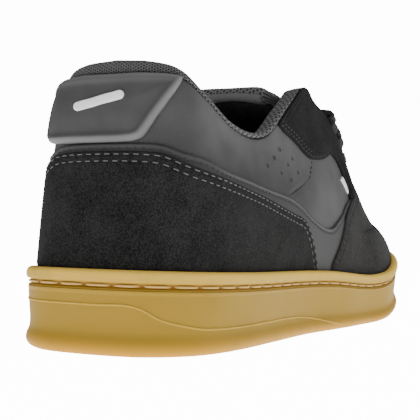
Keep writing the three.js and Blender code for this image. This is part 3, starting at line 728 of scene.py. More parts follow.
def lathe(
    radii: Sequence[float], heights: Sequence[float], centres: Array, normals: Array, sides: int = 16,
) -> tuple[Array, list[Array]]:
    """Small turned pieces: a profile of radius and height turned round each normal.

    Args:
        radii: profile radius at each step.
        heights: profile height along the normal at each step.
        centres: places, one a row.
        normals: axis of each piece.
        sides: steps round the axis.

    Returns:
        Points, and faces with four corners and their end caps.
    """
    first = unit(np.cross(normals, np.where(np.abs(normals[:, 2:]) < 0.9, [[0, 0, 1.0]], [[1.0, 0, 0]])))
    second = np.cross(normals, first)
    angle = np.linspace(0, 2 * np.pi, sides, endpoint=False)
    ring = (
        first[:, None, None] * np.cos(angle)[None, None, :, None]
        + second[:, None, None] * np.sin(angle)[None, None, :, None]
    )
    radius = np.array(radii)[None, :, None, None]
    height = np.array(heights)[None, :, None, None]
    points = centres[:, None, None] + ring * radius + normals[:, None, None] * height
    steps = len(radii)
    base = grid_faces(steps, sides, 0, False, True)
    shift = (np.arange(len(centres)) * steps * sides)[:, None, None]
    caps = end_caps(steps, sides)[None] + shift
    return points.reshape(-1, 3), [(base[None] + shift).reshape(-1, 4), caps.reshape(-1, sides)]


# Shader maths


class Value:
    """Output socket with arithmetic: an expression on values adds its Math nodes."""

    def __init__(self, graph: "Graph", socket: bpy.types.NodeSocket) -> None:
        """Wraps a socket of a graph."""
        self.graph = graph
        self.socket = socket

    def __add__(self, other: "Value | float") -> "Value":
        """Sum."""
        return self.graph.maths("ADD", self, other)

    def __radd__(self, other: float) -> "Value":
        """Sum with a number on the left."""
        return self.graph.maths("ADD", other, self)

    def __sub__(self, other: "Value | float") -> "Value":
        """Difference."""
        return self.graph.maths("SUBTRACT", self, other)

    def __rsub__(self, other: float) -> "Value":
        """Difference with a number on the left."""
        return self.graph.maths("SUBTRACT", other, self)

    def __mul__(self, other: "Value | float") -> "Value":
        """Product."""
        return self.graph.maths("MULTIPLY", self, other)

    def __rmul__(self, other: float) -> "Value":
        """Product with a number on the left."""
        return self.graph.maths("MULTIPLY", other, self)

    def step(self, low: float, high: float) -> "Value":
        """Smooth step from 0 at low to 1 at high.

        Args:
            low: value at which it leaves 0.
            high: value at which it reaches 1.

        Returns:
            The step.
        """
        node = self.graph.node(
            "ShaderNodeMapRange",
            {"interpolation_type": "SMOOTHSTEP"},
            {"Value": self, "From Min": low, "From Max": high},
        )
        return Value(self.graph, node.outputs["Result"])


class Graph:
    """Node graph of one material, with its shader ready."""

    def __init__(self, name: str) -> None:
        """Makes an empty material with a Principled shader.

        Args:
            name: the material's name.
        """
        self.material = bpy.data.materials.new(name)
        self.material.use_nodes = True
        self.tree = self.material.node_tree
        self.tree.nodes.clear()
        self.shader = self.node("ShaderNodeBsdfPrincipled", {}, {})
        self.node("ShaderNodeOutputMaterial", {}, {"Surface": self.shader.outputs[0]})

    def node(self, kind: str, settings: dict, inputs: dict) -> bpy.types.Node:
        """Adds a node.

        Args:
            kind: the node's type.
            settings: its own settings, set first; a ramp's stops go under "stops".
            inputs: values or links of its sockets, by name or place.

        Returns:
            The node.
        """
        made = self.tree.nodes.new(kind)
        for key, value in settings.items():
            if key == "stops":
                ramp = made.color_ramp.elements
                while len(ramp) < len(value):
                    ramp.new(0.5)
                for element, (place, colour) in zip(ramp, value):
                    element.position = place
                    element.color = (*colour, 1.0)
            else:
                setattr(made, key, value)
        for key, value in inputs.items():
            socket = made.inputs[key]
            if isinstance(value, Value):
                self.tree.links.new(value.socket, socket)
            elif isinstance(value, bpy.types.NodeSocket):
                self.tree.links.new(value, socket)
            else:
                socket.default_value = value
        return made

    def maths(self, operation: str, *terms: "Value | float") -> Value:
        """Math node on values and numbers."""
        node = self.node("ShaderNodeMath", {"operation": operation}, dict(enumerate(terms)))
        return Value(self, node.outputs[0])

    def constant(self, values: dict[str, object]) -> None:
        """Sets the shader's own sockets to numbers and colours that are the same all over."""
        for key, value in values.items():
            self.shader.inputs[key].default_value = value

    def feed(self, name: str, value: Value) -> None:
        """Links a value that changes over the surface to one of the shader's sockets."""
        self.tree.links.new(value.socket, self.shader.inputs[name])

    def place(self) -> Value:
        """Object coordinates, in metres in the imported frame."""
        return Value(self, self.node("ShaderNodeTexCoord", {}, {}).outputs["Object"])

    def pattern(self) -> Value:
        """The piece's own pattern coordinates, in millimetres."""
        return Value(self, self.node("ShaderNodeUVMap", {"uv_map": "Pattern"}, {}).outputs[0])

    def mark(self, name: str) -> Value:
        """A value kept at each of the piece's points."""
        return Value(self, self.node("ShaderNodeAttribute", {"attribute_name": name}, {}).outputs["Fac"])

    def part(self, vector: Value, axis: str) -> Value:
        """One coordinate of a vector."""
        return Value(self, self.node("ShaderNodeSeparateXYZ", {}, {0: vector}).outputs[axis])

    def noise(self, vector: Value, size: float, detail: float = 2.0, rough: float = 0.5) -> Value:
        """Noise from 0 to 1 whose features are about size millimetres wide.

        Args:
            vector: coordinates in metres.
            size: width of a feature.
            detail: how many finer layers.
            rough: how strong they are.

        Returns:
            The noise.
        """
        settings = {"noise_dimensions": "3D"}
        inputs = {"Vector": vector, "Scale": 1 / (size * MILLIMETRE), "Detail": detail, "Roughness": rough}
        return Value(self, self.node("ShaderNodeTexNoise", settings, inputs).outputs[0])

    def cells(self, vector: Value, size: float, feature: str = "F1") -> Value:
        """Distance to the nearest of scattered cells, in cell widths.

        Args:
            vector: coordinates in metres.
            size: width of a cell in millimetres.
            feature: which distance to give.

        Returns:
            The distance.
        """
        inputs = {"Vector": vector, "Scale": 1 / (size * MILLIMETRE)}
        node = self.node("ShaderNodeTexVoronoi", {"feature": feature}, inputs)
        return Value(self, node.outputs["Distance"])

    def mix(self, share: "Value | float", first: "Value | tuple", second: "Value | tuple") -> Value:
        """Colour between two colours.

        Args:
            share: share of the second colour.
            first: first colour.
            second: second colour.

        Returns:
            The colour.
        """
        node = self.node("ShaderNodeMix", {"data_type": "RGBA"}, {})
        for socket, value in ((node.inputs[0], share), (node.inputs[6], first), (node.inputs[7], second)):
            if isinstance(value, Value):
                self.tree.links.new(value.socket, socket)
            elif isinstance(value, tuple):
                socket.default_value = (*value, 1.0)
            else:
                socket.default_value = value
        return Value(self, node.outputs[2])

    def bump(self, height: Value, depth: float, strength: float = 1.0) -> None:
        """Feeds the shader's normal from a height of 0 to 1 that is depth millimetres deep."""
        settings = {"Height": height, "Distance": depth * MILLIMETRE, "Strength": strength}
        self.feed("Normal", Value(self, self.node("ShaderNodeBump", {}, settings).outputs[0]))


Colour = tuple[float, float, float]


@dataclass(frozen=True)
class Suede:
    """Napped leather: fine speckle, brushed patches, a paler cut edge."""

    name: str
    dark: Colour
    light: Colour
    speck: float = 0.55
    patch: float = 14.0
    sheen: float = 0.012

    def make(self) -> bpy.types.Material:
        """Colour follows a fine and a broad noise, and the cut edge is paler; bump is the fine noise.

        Returns:
            The material.
        """
        g = Graph(self.name)
        place = g.place()
        fine = g.noise(place, self.speck, 3, 0.7)
        nap = g.noise(place, 2.6, 2, 0.6)
        broad = g.noise(place, self.patch, 2, 0.5)
        worn = 1 - g.mark("edge").step(0.15, 1.1)
        tone = fine.step(0.38, 0.64) * 0.8 + nap.step(0.3, 0.7) * 0.14 + broad.step(0.3, 0.72) * 0.26
        g.feed("Base Color", g.mix(tone + worn * 0.2, self.dark, self.light))
        g.feed("Roughness", 0.86 + fine * 0.14)
        g.constant({"Specular IOR Level": 0.06, "Sheen Weight": self.sheen, "Sheen Roughness": 0.5})
        g.bump(fine * 0.7 + nap * 0.3, 0.28, 0.85)
        return g.material


@dataclass(frozen=True)
class Leather:
    """Smooth leather: fine pebbled grain, with painted light that makes it paler towards the instep and the
    top line.
    """

    name: str
    dark: Colour
    light: Colour
    rough: float = 0.42
    grain: float = 0.9

    def make(self) -> bpy.types.Material:
        """Colour wanders with a broad noise, and painted light pales it upwards and forwards; bump is rounded
        cells.

        Returns:
            The material.
        """
        g = Graph(self.name)
        place = g.place()
        broad = g.noise(place, 24, 2, 0.5)
        fine = g.noise(place, 0.5, 2, 0.6)
        cell = g.cells(place, self.grain)
        worn = 1 - g.mark("edge").step(0.1, 0.9)
        # Painted light: the leather is lighter high up and towards the front, where the lamps fall, and
        # darker low and at the rear.
        upper = g.part(place, "Z").step(0.060, 0.088)
        front = g.part(place, "Y").step(-0.045, 0.005)
        painted_light = g.maths("MAXIMUM", upper, front)
        tone = broad.step(0.25, 0.75) * 0.35 + fine * 0.2 + worn * 0.35 + painted_light * 0.55 - 0.1
        g.feed("Base Color", g.mix(tone, self.dark, self.light))
        g.feed("Roughness", self.rough + 0.12 * fine + 0.08 * broad)
        g.constant({"Specular IOR Level": 0.2})
        g.bump((1 - cell) * 0.7 + fine * 0.3, 0.07, 0.7)
        return g.material


@dataclass(frozen=True)
class Gum:
    """Gum rubber: warm tan with a waxy surface, its creamier lip a painted highlight and its brighter, more
    orange foot painted bounce light from the floor.
    """

    name: str
    # foot is painted bounce light from the floor, lip a painted highlight; side is the gum's own colour
    foot: Colour = (0.47, 0.24, 0.01)
    side: Colour = (0.325, 0.20, 0.02)
    lip: Colour = (0.74, 0.48, 0.075)

    def make(self) -> bpy.types.Material:
        """Colour runs from foot to side to lip by the point's height on the wall, painted light at foot and
        lip, with faint clouds.

        Returns:
            The material.
        """
        g = Graph(self.name)
        place = g.place()
        rise = g.mark("rise")
        cloud = g.noise(place, 18, 3, 0.6)
        dust = g.noise(place, 0.7, 2, 0.6)
        groove = g.mark("groove")
        # Painted light by height: bounce light at the foot, highlight along the lip.
        wall = g.mix(rise.step(0.02, 0.26), self.foot, self.side)
        colour = g.mix(rise.step(0.8, 0.97), wall, self.lip)
        darker = tuple(0.8 * part for part in self.side)
        colour = g.mix(cloud.step(0.45, 0.8) * 0.35, colour, darker)
        # Painted shade: the recessed stitch groove is darkened.
        colour = g.mix(groove * 0.75, colour, (0.20, 0.07, 0.015))
        g.feed("Base Color", colour)
        g.feed("Roughness", 0.5 + 0.14 * cloud + 0.06 * dust)
        g.constant({"Specular IOR Level": 0.15, "Subsurface Weight": 0.12, "Subsurface Scale": 0.002})
        g.constant({"Subsurface Radius": (1.0, 0.55, 0.2)})
        g.bump(dust * 0.7 + cloud * 0.3, 0.05, 0.5)
        return g.material


@dataclass(frozen=True)
class Moulded:
    """Moulded soft rubber: satin, with a fine matt grain and a paler rim."""

    name: str
    body: Colour
    rim: Colour
    rim_width: float = 3.2
    rough: float = 0.46

    def make(self) -> bpy.types.Material:
        """Colour goes from the rim's to the body's with the distance from the edge.

        Returns:
            The material.
        """
        g = Graph(self.name)
        place = g.place()
        rim = 1 - g.mark("edge").step(0.2, self.rim_width)
        fine = g.noise(place, 0.35, 2, 0.6)
        broad = g.noise(place, 9, 2, 0.5)
        g.feed("Base Color", g.mix(rim * 0.8 + broad * 0.2, self.body, self.rim))
        g.feed("Roughness", self.rough + 0.1 * fine)
        g.constant({"Specular IOR Level": 0.3})
        g.bump(fine, 0.03, 0.5)
        return g.material


@dataclass(frozen=True)
class Knit:
    """Spacer mesh: round holes in rows, threads round them, smooth binding where the mark says so."""

    name: str
    thread: Colour
    hole: Colour
    binding: Colour
    lining: Colour
    pitch: float = 2.0

    def make(self) -> bpy.types.Material:
        """Holes lie at the peaks of three cosine waves sixty degrees apart on the pattern.

        Returns:
            The material.
        """
        g = Graph(self.name)
        across = g.pattern()
        x, y = g.part(across, "X"), g.part(across, "Y")
        turn = 2 * math.pi / self.pitch
        waves = (
            g.maths("COSINE", x * turn)
            + g.maths("COSINE", (x * 0.5 + y * 0.866) * turn)
            + g.maths("COSINE", (y * 0.866 - x * 0.5) * turn)
        )
        hole = waves.step(-0.7, 0.7)
        fibre = g.noise(g.place(), 0.4, 2, 0.6)
        cloth = g.mix(hole * 0.92, self.thread, self.hole)
        smooth_part = g.mark("binding")
        cloth = g.mix(fibre.step(0.3, 0.8) * 0.35, cloth, self.hole)
        bound = g.mix(fibre * 0.3, self.binding, self.lining)
        colour = g.mix(smooth_part, cloth, bound)
        # Where the inside mark is set the colour is the lining's: a dark lining and painted shade together.
        inside = g.mark("inside")
        g.feed("Base Color", g.mix(inside, colour, self.lining))
        g.feed("Roughness", 0.8 + fibre * 0.15)
        g.constant({"Specular IOR Level": 0.3, "Sheen Weight": 0.06, "Sheen Roughness": 0.5})
        g.bump((1 - hole) * (1 - smooth_part) + fibre * 0.25, 0.35, 0.9)
        return g.material


@dataclass(frozen=True)
class Woven:
    """Flat woven cord: crossing diagonal threads."""

    name: str
    dark: Colour
    light: Colour
    pitch: float = 1.1

    def make(self) -> bpy.types.Material:
        """Height is the product of two sine waves that run slantwise along the pattern.

        Returns:
            The material.
        """
        g = Graph(self.name)
        across = g.pattern()
        x, y = g.part(across, "X"), g.part(across, "Y")
        turn = 2 * math.pi / self.pitch
        weave = g.maths("SINE", (x + y) * turn) * g.maths("SINE", (x - y) * turn) * 0.5 + 0.5
        fibre = g.noise(g.place(), 0.3, 2, 0.6)
        g.feed("Base Color", g.mix(weave * 0.7 + fibre * 0.3, self.dark, self.light))
        g.feed("Roughness", 0.78 + fibre * 0.15)
        g.constant({"Specular IOR Level": 0.3, "Sheen Weight": 0.03, "Sheen Roughness": 0.5})
        g.bump(weave * 0.7 + fibre * 0.3, 0.16, 0.9)
        return g.material


@dataclass(frozen=True)
class Thread:
    """Sewing thread: a fine twist along the stitch."""

    name: str
    colour: Colour
    shade: Colour
    rough: float = 0.6

    def make(self) -> bpy.types.Material:
        """Height is a slanting wave on the pattern, and colour follows it a little.

        Returns:
            The material.
        """
        g = Graph(self.name)
        across = g.pattern()
        twist = g.maths("SINE", (g.part(across, "X") * 2.2 + g.part(across, "Y")) * 6.28) * 0.5 + 0.5
        fibre = g.noise(g.place(), 0.8, 2, 0.6)
        g.feed("Base Color", g.mix(twist * 0.35 + fibre * 0.4, self.colour, self.shade))
        g.feed("Roughness", self.rough + fibre * 0.2)
        g.bump(twist, 0.05, 0.6)
        return g.material


@dataclass(frozen=True)
class Plain:
    """Even finish with a faint fine grain, for linings and small painted pieces."""

    name: str
    colour: Colour
    shade: Colour
    rough: float = 0.7
    grain: float = 0.5

    def make(self) -> bpy.types.Material:
        """Colour and gloss follow one fine noise.

        Returns:
            The material.
        """
        g = Graph(self.name)
        fine = g.noise(g.place(), self.grain, 2, 0.6)
        g.feed("Base Color", g.mix(fine.step(0.3, 0.75), self.colour, self.shade))
        g.feed("Roughness", self.rough + 0.12 * fine)
        g.bump(fine, 0.06, 0.6)
        return g.material


def grey(level: float) -> Colour:
    """Neutral colour."""
    return level, level, level


class Finishes:
    """Every finish of the shoe, made once."""

    def __init__(self) -> None:
        """Makes the materials."""
        self.gum = Gum("gum").make()
        self.counter = Suede("counter_suede", grey(0.003), grey(0.026)).make()
        self.vamp = Suede("vamp_suede", grey(0.005), (0.036, 0.035, 0.034), sheen=0.03).make()
        self.eyestay = Suede("eyestay_suede", grey(0.002), grey(0.016)).make()
        # The leathers' light colours are also reached by painted light high up and towards the front.
        self.leather = Leather("side_leather", (0.014, 0.014, 0.0145), grey(0.088)).make()
        self.band = Leather("band_leather", grey(0.02), grey(0.05), 0.45).make()
        self.tab = Moulded("tab_rubber", (0.034, 0.034, 0.035), grey(0.135)).make()
        self.collar = Knit("collar_mesh", grey(0.12), grey(0.004), grey(0.03), grey(0.02), 1.45).make()
        # The tongue's near-black lining is a dark lining and painted shade under the tongue.
        self.tongue = Knit("tongue_mesh", grey(0.15), grey(0.016), grey(0.20), grey(0.018), 2.4).make()
        self.lace = Woven("lace_weave", grey(0.004), grey(0.02)).make()
        self.grey_thread = Thread("grey_thread", grey(0.12), grey(0.05)).make()
        self.dark_thread = Thread("dark_thread", grey(0.012), grey(0.03)).make()
        self.sole_thread = Thread("sole_thread", (0.62, 0.40, 0.13), (0.45, 0.25, 0.05)).make()
        self.lining = Plain("dark_lining", grey(0.018), grey(0.035), 0.85).make()
        # Near-black finish for hole floors: painted shade inside the holes.
        self.hole = Plain("hole_shade", grey(0.003), grey(0.006), 0.9).make()
        self.paint = Plain("white_print", grey(0.78), grey(0.70), 0.4, 0.9).make()


@dataclass
class Part:
    """Sub-assembly, which dresses its pieces from the shoe's finishes."""

    finishes: Finishes


def finish_piece(
    piece: bpy.types.Object, material: bpy.types.Material, slot: Slot, *nodes: str,
) -> bpy.types.Object:
    """Gives a piece its material, slot and body, and the solids that it stands for.

    Args:
        piece: the piece.
        material: its finish.
        slot: not used.
        nodes: the solids.

    Returns:
        The same piece.
    """
    piece.data.materials.clear()
    piece.data.materials.append(material)
    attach(piece, "root")
    if nodes:
        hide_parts(*nodes)
    triangles = sum(len(face.vertices) - 2 for face in piece.data.polygons)
    LOG.info("%s: %d triangles", piece.name, triangles)
    return piece


# Stitches


@dataclass(frozen=True)
class StitchRun:
    """Row of sewn stitches along a line on the last."""

    pitch: float = 3.9
    share: float = 0.72
    radius: float = 0.3
    lift: float = 0.12
    dip: float = 0.5
    sides: int = 6
    steps: int = 6

    def build(self, line: Array, normals: Array) -> Form:
        """Stitches as short tubes whose ends dip into the cloth and thin out.

        At a share t along a stitch the height is lift less dip times (2t - 1) to the fourth, and the
        thickness falls by half towards the ends.

        Args:
            line: places in space, one a row.
            normals: outward normals there.

        Returns:
            Points, faces and pattern coordinates.
        """
        lengths = arc_lengths(line)
        count = max(1, int(round(lengths[-1] / self.pitch)))
        step = lengths[-1] / count
        t = np.linspace(0, 1, self.steps)
        at = (np.arange(count)[:, None] + 0.5 * (1 - self.share) + self.share * t[None]) * step
        path = np.stack([np.interp(at, lengths, line[:, k]) for k in range(3)], -1)
        up = unit(np.stack([np.interp(at, lengths, normals[:, k]) for k in range(3)], -1))
        ahead = unit(path[:, -1:] - path[:, :1])
        side = unit(np.cross(up, ahead))
        bend = (2 * t - 1) ** 4
        path = path + up * (self.lift - self.dip * bend)[None, :, None]
        thin = self.radius * (1 - 0.55 * (2 * t - 1) ** 6)[None, :, None]
        points, faces = swept(path, side * thin, up * thin, oval(self.sides))
        around = np.arange(self.sides) / self.sides
        u = np.broadcast_to(at[:, :, None], (count, self.steps, self.sides))
        w = np.broadcast_to(around[None, None], u.shape)
        return points, faces, np.stack([u, w], -1)


def joined(parts: Sequence[Form]) -> Form:
    """Several meshes as one: points put end to end and their faces counted on.

    Args:
        parts: the meshes.

    Returns:
        One mesh.
    """
    points, faces, uvs, first = [], {}, [], 0
    for places, groups, uv in parts:
        for group in groups:
            faces.setdefault(group.shape[1], []).append(group + first)
        first += len(places)
        points.append(places)
        uvs.append(uv.reshape(-1, uv.shape[-1]))
    return np.concatenate(points), [np.concatenate(group) for group in faces.values()], np.concatenate(uvs)


# Studio


@dataclass(frozen=True)
class Studio:
    """Camera at the photograph's angle, pale floor and backdrop, soft lamps."""

    azimuth: float = 25.99
    elevation: float = -1.29
    roll: float = 1.25
    distance: float = 449.6
    target: tuple[float, float, float] = (1.4, -48.2, 54.4)
    lens: float = 86.7
    floor_glow: float = 2.3
    backdrop: float = 14.0

    def camera(self) -> None:
        """Turns the view angles into the camera's axes: right, up and back."""
        a, e, r = (math.radians(angle) for angle in (self.azimuth, self.elevation, self.roll))
        back = np.array([math.sin(a) * math.cos(e), -math.cos(a) * math.cos(e), math.sin(e)])
        right = np.array([math.cos(a), math.sin(a), 0.0])
        up = np.cross(back, right)
        turned = math.cos(r) * right + math.sin(r) * up
        raised = -math.sin(r) * right + math.cos(r) * up
        matrix = np.eye(4)
        matrix[:3, 0], matrix[:3, 1], matrix[:3, 2] = turned, raised, back
        matrix[:3, 3] = (np.array(self.target) + self.distance * back) * MILLIMETRE
        data = bpy.data.cameras.new("photo_camera")
        data.lens = self.lens
        data.sensor_width = 36.0
        data.clip_start = 0.01
        data.clip_end = 50.0
        made = bpy.data.objects.new("photo_camera", data)
        bpy.context.scene.collection.objects.link(made)
        made.matrix_world = Matrix(matrix.tolist())
        bpy.context.scene.camera = made

    def floor(self) -> None:
        """Wide flat pale floor, brighter where the camera sees it than where its glow lights the shoe."""
        reach = 4000.0
        ring = np.array([[-reach, -reach], [reach, -reach], [reach, reach], [-reach, reach]])
        places = np.concatenate([ring, np.full((4, 1), -0.05)], -1)
        mesh = bpy.data.meshes.new("floor")
        mesh.from_pydata((places * MILLIMETRE).tolist(), [], [(0, 1, 2, 3)])
        ground = bpy.data.objects.new("floor", mesh)
        bpy.context.scene.collection.objects.link(ground)
        g = Graph("studio_floor")
        dust = g.noise(g.place(), 120, 2, 0.5)
        g.feed("Base Color", g.mix(dust, (0.92, 0.92, 0.92), (0.90, 0.90, 0.90)))
        g.constant({"Roughness": 0.8, "Specular IOR Level": 0.2})
        seen = g.node("ShaderNodeLightPath", {}, {}).outputs["Is Camera Ray"]
        share = self.floor_glow / self.backdrop
        g.feed("Emission Color", g.mix(Value(g, seen), (share, share, share), (1.0, 1.0, 1.0)))
        g.constant({"Emission Strength": self.backdrop})
        ground.data.materials.append(g.material)

    def lamp(self, name: str, place: tuple, aim: tuple, size: tuple[float, float], power: float) -> None:
        """Soft rectangular lamp that faces a place.

        Args:
            name: the lamp's name.
            place: where it stands, in metres.
            aim: what it faces.
            size: width and height.
            power: watts.
        """
        data = bpy.data.lights.new(name, "AREA")
        data.shape = "RECTANGLE"
        data.size, data.size_y = size
        data.energy = power
        made = bpy.data.objects.new(name, data)
        bpy.context.scene.collection.objects.link(made)
        back = unit(np.array(place, float) - np.array(aim, float))
        right = unit(np.cross([0.0, 0.0, 1.0], back) + (1e-6, 0, 0))
        matrix = np.eye(4)
        matrix[:3, 0], matrix[:3, 1], matrix[:3, 2] = right, np.cross(back, right), back
        matrix[:3, 3] = place
        made.matrix_world = Matrix(matrix.tolist())

    def world(self) -> None:
        """Even white surroundings: brighter where the camera sees them than where they light the shoe."""
        world = bpy.data.worlds.new("studio_world")
        bpy.context.scene.world = world
        world.use_nodes = True
        nodes, links = world.node_tree.nodes, world.node_tree.links
        nodes.clear()
        out = nodes.new("ShaderNodeOutputWorld")
        backdrop = nodes.new("ShaderNodeBackground")
        light = nodes.new("ShaderNodeBackground")
        mix = nodes.new("ShaderNodeMixShader")
        ray = nodes.new("ShaderNodeLightPath")
        light.inputs["Color"].default_value = (1, 1, 1, 1)
        light.inputs["Strength"].default_value = 0.25
        backdrop.inputs["Color"].default_value = (1, 1, 1, 1)
        backdrop.inputs["Strength"].default_value = self.backdrop
        links.new(ray.outputs["Is Camera Ray"], mix.inputs[0])
        links.new(light.outputs[0], mix.inputs[1])
        links.new(backdrop.outputs[0], mix.inputs[2])
        links.new(mix.outputs[0], out.inputs["Surface"])

    def build(self) -> None:
        """Camera first, then floor, surroundings and lamps."""
        self.camera()
        self.floor()
        self.world()
        self.lamp("overhead", (0.1, -0.1, 1.5), (0, 0, 0.05), (1.8, 1.8), 12)
        self.lamp("lateral", (1.1, 1.0, 0.8), (0, 0, 0.06), (1.0, 1.0), 6)
        self.lamp("behind_camera", (0.3, -1.7, 0.7), (0, 0, 0.06), (1.6, 1.0), 2)


# Sole


@dataclass
class CupSole(Part):
    """Gum cup sole: lip, stitch groove, waisted wall, raised wave line, foot bevel and tread."""

    stations: int = 520
    rim: float = 9.0
    arch_slope: float = 3.0
    arch_rise_start: float = 10.0
    tread_depth: float = 1.6
    tread_width: float = 2.6
    tread_pitch: float = 13.0
    stitch_pitch: float = 11.1
    # out from the outline, share of the wall's height, millimetres under that
    profile: Rows = (
        (-9, 0, 0), (-6, 0, 0), (-3.6, 0, 0), (-2.6, 0.004, 0), (-1.6, 0.016, 0), (-0.6, 0.036, 0),
        (0.1, 0.066, 0), (0.48, 0.1, 0), (0.5, 0.14, 0), (0.05, 0.19, 0), (-0.6, 0.24, 0),
        (-0.9, 0.3, 0), (-0.82, 0.4, 0), (-0.5, 0.52, 0), (-0.2, 0.64, 0), (0.02, 1, 7.15),
        (-0.02, 1, 6.85), (-0.3, 1, 6.55), (-0.85, 1, 6.3), (-1.12, 1, 5.9), (-1.15, 1, 5.4),
        (-0.95, 1, 4.95), (-0.35, 1, 4.65), (0.25, 1, 4.45), (0.65, 1, 4.1), (0.88, 1, 3.5),
        (0.95, 1, 2.8), (0.88, 1, 2.0), (0.65, 1, 1.25), (0.22, 1, 0.62), (-0.4, 1, 0.2),
        (-1.1, 1, 0.03), (-1.8, 1, 0.02), (-2.5, 1, 0.25), (-2.95, 1, 0.8), (-3.0, 1, 2.0),
    )
    # share of the length and height of the raised wave line on each side
    medial_wave: Rows = (
        (0, 18.3), (0.05, 18.1), (0.09, 17.2), (0.13, 14.8), (0.18, 11.9), (0.24, 10), (0.31, 9.2),
        (0.38, 8.4), (0.43, 6.6), (0.48, 4.2), (0.53, 1.8),
    )
    lateral_wave: Rows = (
        (0, 18.2), (0.005, 18.4), (0.012, 17.2), (0.025, 13.6), (0.045, 11.4), (0.07, 9.9), (0.1, 9.4),
        (0.16, 9.2), (0.24, 9.2), (0.32, 9.2), (0.38, 8.4), (0.43, 6.6), (0.48, 4.2), (0.53, 1.8),
    )

    def rings(self) -> Array:
        """Outer rings: station by profile step. Height is spring plus a share of the wall less a drop.

        Returns:
            Places, shaped (stations, steps, 3).
        """
        s = np.linspace(0, LAST.count, self.stations, endpoint=False)[:, None]
        knots = np.array(self.profile)
        index = np.arange(len(knots))
        fine = np.unique(np.concatenate([np.arange(0, len(knots) - 1, 0.5), [len(knots) - 1]]))
        out, share, drop = (
            smooth(tuple(zip(index, knots[:, k])), fine) if k != 1 else np.interp(fine, index, knots[:, 1])
            for k in range(3)
        )
        share = np.clip(share, 0, 1)
        drop = np.maximum(drop, 0)

        def height(along: Array) -> Array:
            """Height of each ring where it lies along the shoe."""
            return LAST.spring(along) + share[None] * LAST.wall(along) - drop[None]

        return LAST.beside(*np.broadcast_arrays(s, out[None]), height)

    def body(self) -> None:
        """Cup: base cap, recessed step, outer rings, lip, inner wall and cup floor, closed by rungs."""
        rings = self.rings()
        s = np.linspace(0, LAST.count, self.stations, endpoint=False)
        ones = np.ones(self.stations)

        def base(along: Array) -> Array:
            """Base between the tread blocks."""
            return LAST.spring(along) + LAST.arch(along) + self.tread_depth

        inner = LAST.beside(s, -(self.rim + 0.25) * ones, base)
        cup = LAST.beside(s, -3.0 * ones, LAST.floor)
        cup_in = LAST.beside(s, -9.0 * ones, LAST.floor)
        points = np.concatenate([inner[:, None], rings, cup[:, None], cup_in[:, None]], 1)
        steps = points.shape[1]
        along = points[..., 1] / LAST.length
        rise = np.clip((points[..., 2] - LAST.spring(along)) / LAST.wall(along), 0, 1)
        under = LAST.lip(along) - points[..., 2]
        step = np.arange(steps)[None]
        # Mask of the stitch groove, where the gum is painted darker as shade.
        groove = hump(under - 5.6, 0.75) * (step > 20) * (step < steps - 4)
        marks = {"rise": rise, "groove": groove}
        made = make_object("cup_sole", points, ringed(self.stations, steps), marks=marks)
        finish_piece(made, self.finishes.gum, Slot.GUM, "outsole")

    def tread(self) -> None:
        """Tread blocks between straight channels: boxes that follow the spring and the arch.

        A block's underside is the spring plus the arch eased in from its ends, with a small chamfer at its
        channel edges and shallow ripples across.
        """
        cuts = [y for y in np.arange(self.tread_pitch, LAST.length - self.tread_pitch, self.tread_pitch)
                if LAST.arch(np.array(y / LAST.length)) <= 0]
        half = 0.5 * self.tread_width
        starts = [5.0] + [y + half for y in cuts]
        stops = [y - half for y in cuts] + [LAST.length - 10.0]
        s_lateral = np.linspace(0, LAST.tip, 400)
        edge_lateral = LAST.beside(s_lateral, np.full(400, -self.rim), LAST.spring)
        edge_medial = LAST.beside(LAST.count - s_lateral, np.full(400, -self.rim), LAST.spring)
        parts = []
        for start, stop in zip(starts, stops):
            start = max(start, edge_lateral[:, 1].min() + 0.5)
            stop = min(stop, edge_lateral[:, 1].max() - 0.5)
            if stop - start < 2:
                continue
            y = start + (stop - start) * spread(stop - start, 0.35, 1.6, 0.8)
            right = np.interp(y, edge_lateral[:, 1], edge_lateral[:, 0])
            left = np.interp(y, edge_medial[:, 1], edge_medial[:, 0])
            share = spread(80.0, 0.6, 1.6, 4.0)
            x = left[:, None] + (right - left)[:, None] * share[None]
            from_side = np.minimum(x - left[:, None], right[:, None] - x)
            along = np.broadcast_to(y[:, None] / LAST.length, x.shape)
            edge = np.minimum(y - start, stop - y)[:, None]
            ripple = 0.28 * hump(np.mod(x, 5.2) - 2.6, 0.55) * ease(1, 2, edge)
            chamfer = 0.4 * (1 - ease(0, 0.9, edge)) + ripple
            arch = LAST.arch(along) * ease(self.arch_rise_start - self.rim, 4.5, from_side)
            bottom = LAST.spring(along) + arch + chamfer
            top = LAST.spring(along) + LAST.arch(along) + self.tread_depth + 0.4
            yy = np.broadcast_to(y[:, None], x.shape)
            outer = np.stack([x, yy, bottom], -1)
            inner = np.stack([x, yy, top], -1)
            points, faces = shell(outer, inner)
            parts.append((points, [faces], np.zeros((len(points), 1))))
        points, faces, _ = joined(parts)
        marks = {"rise": np.zeros(len(points)), "groove": np.zeros(len(points))}
        finish_piece(make_object("tread", points, faces, marks=marks), self.finishes.gum, Slot.GUM, "outsole")

    def side_out(self, station: Array, height: Array) -> Array:
        """How far the wall stands outside the outline at a height over the spring, from its profile.

        Args:
            station: stations.
            height: heights over the floor.

        Returns:
            One distance for each station.
        """
        knots = np.array(self.profile)[2:16]
        along = LAST.outline(station)[..., 1] / LAST.length
        share = (height - LAST.spring(along)) / LAST.wall(along)
        return np.interp(share, np.where(knots[:, 1] < 1, knots[:, 1], 0.76), knots[:, 0])

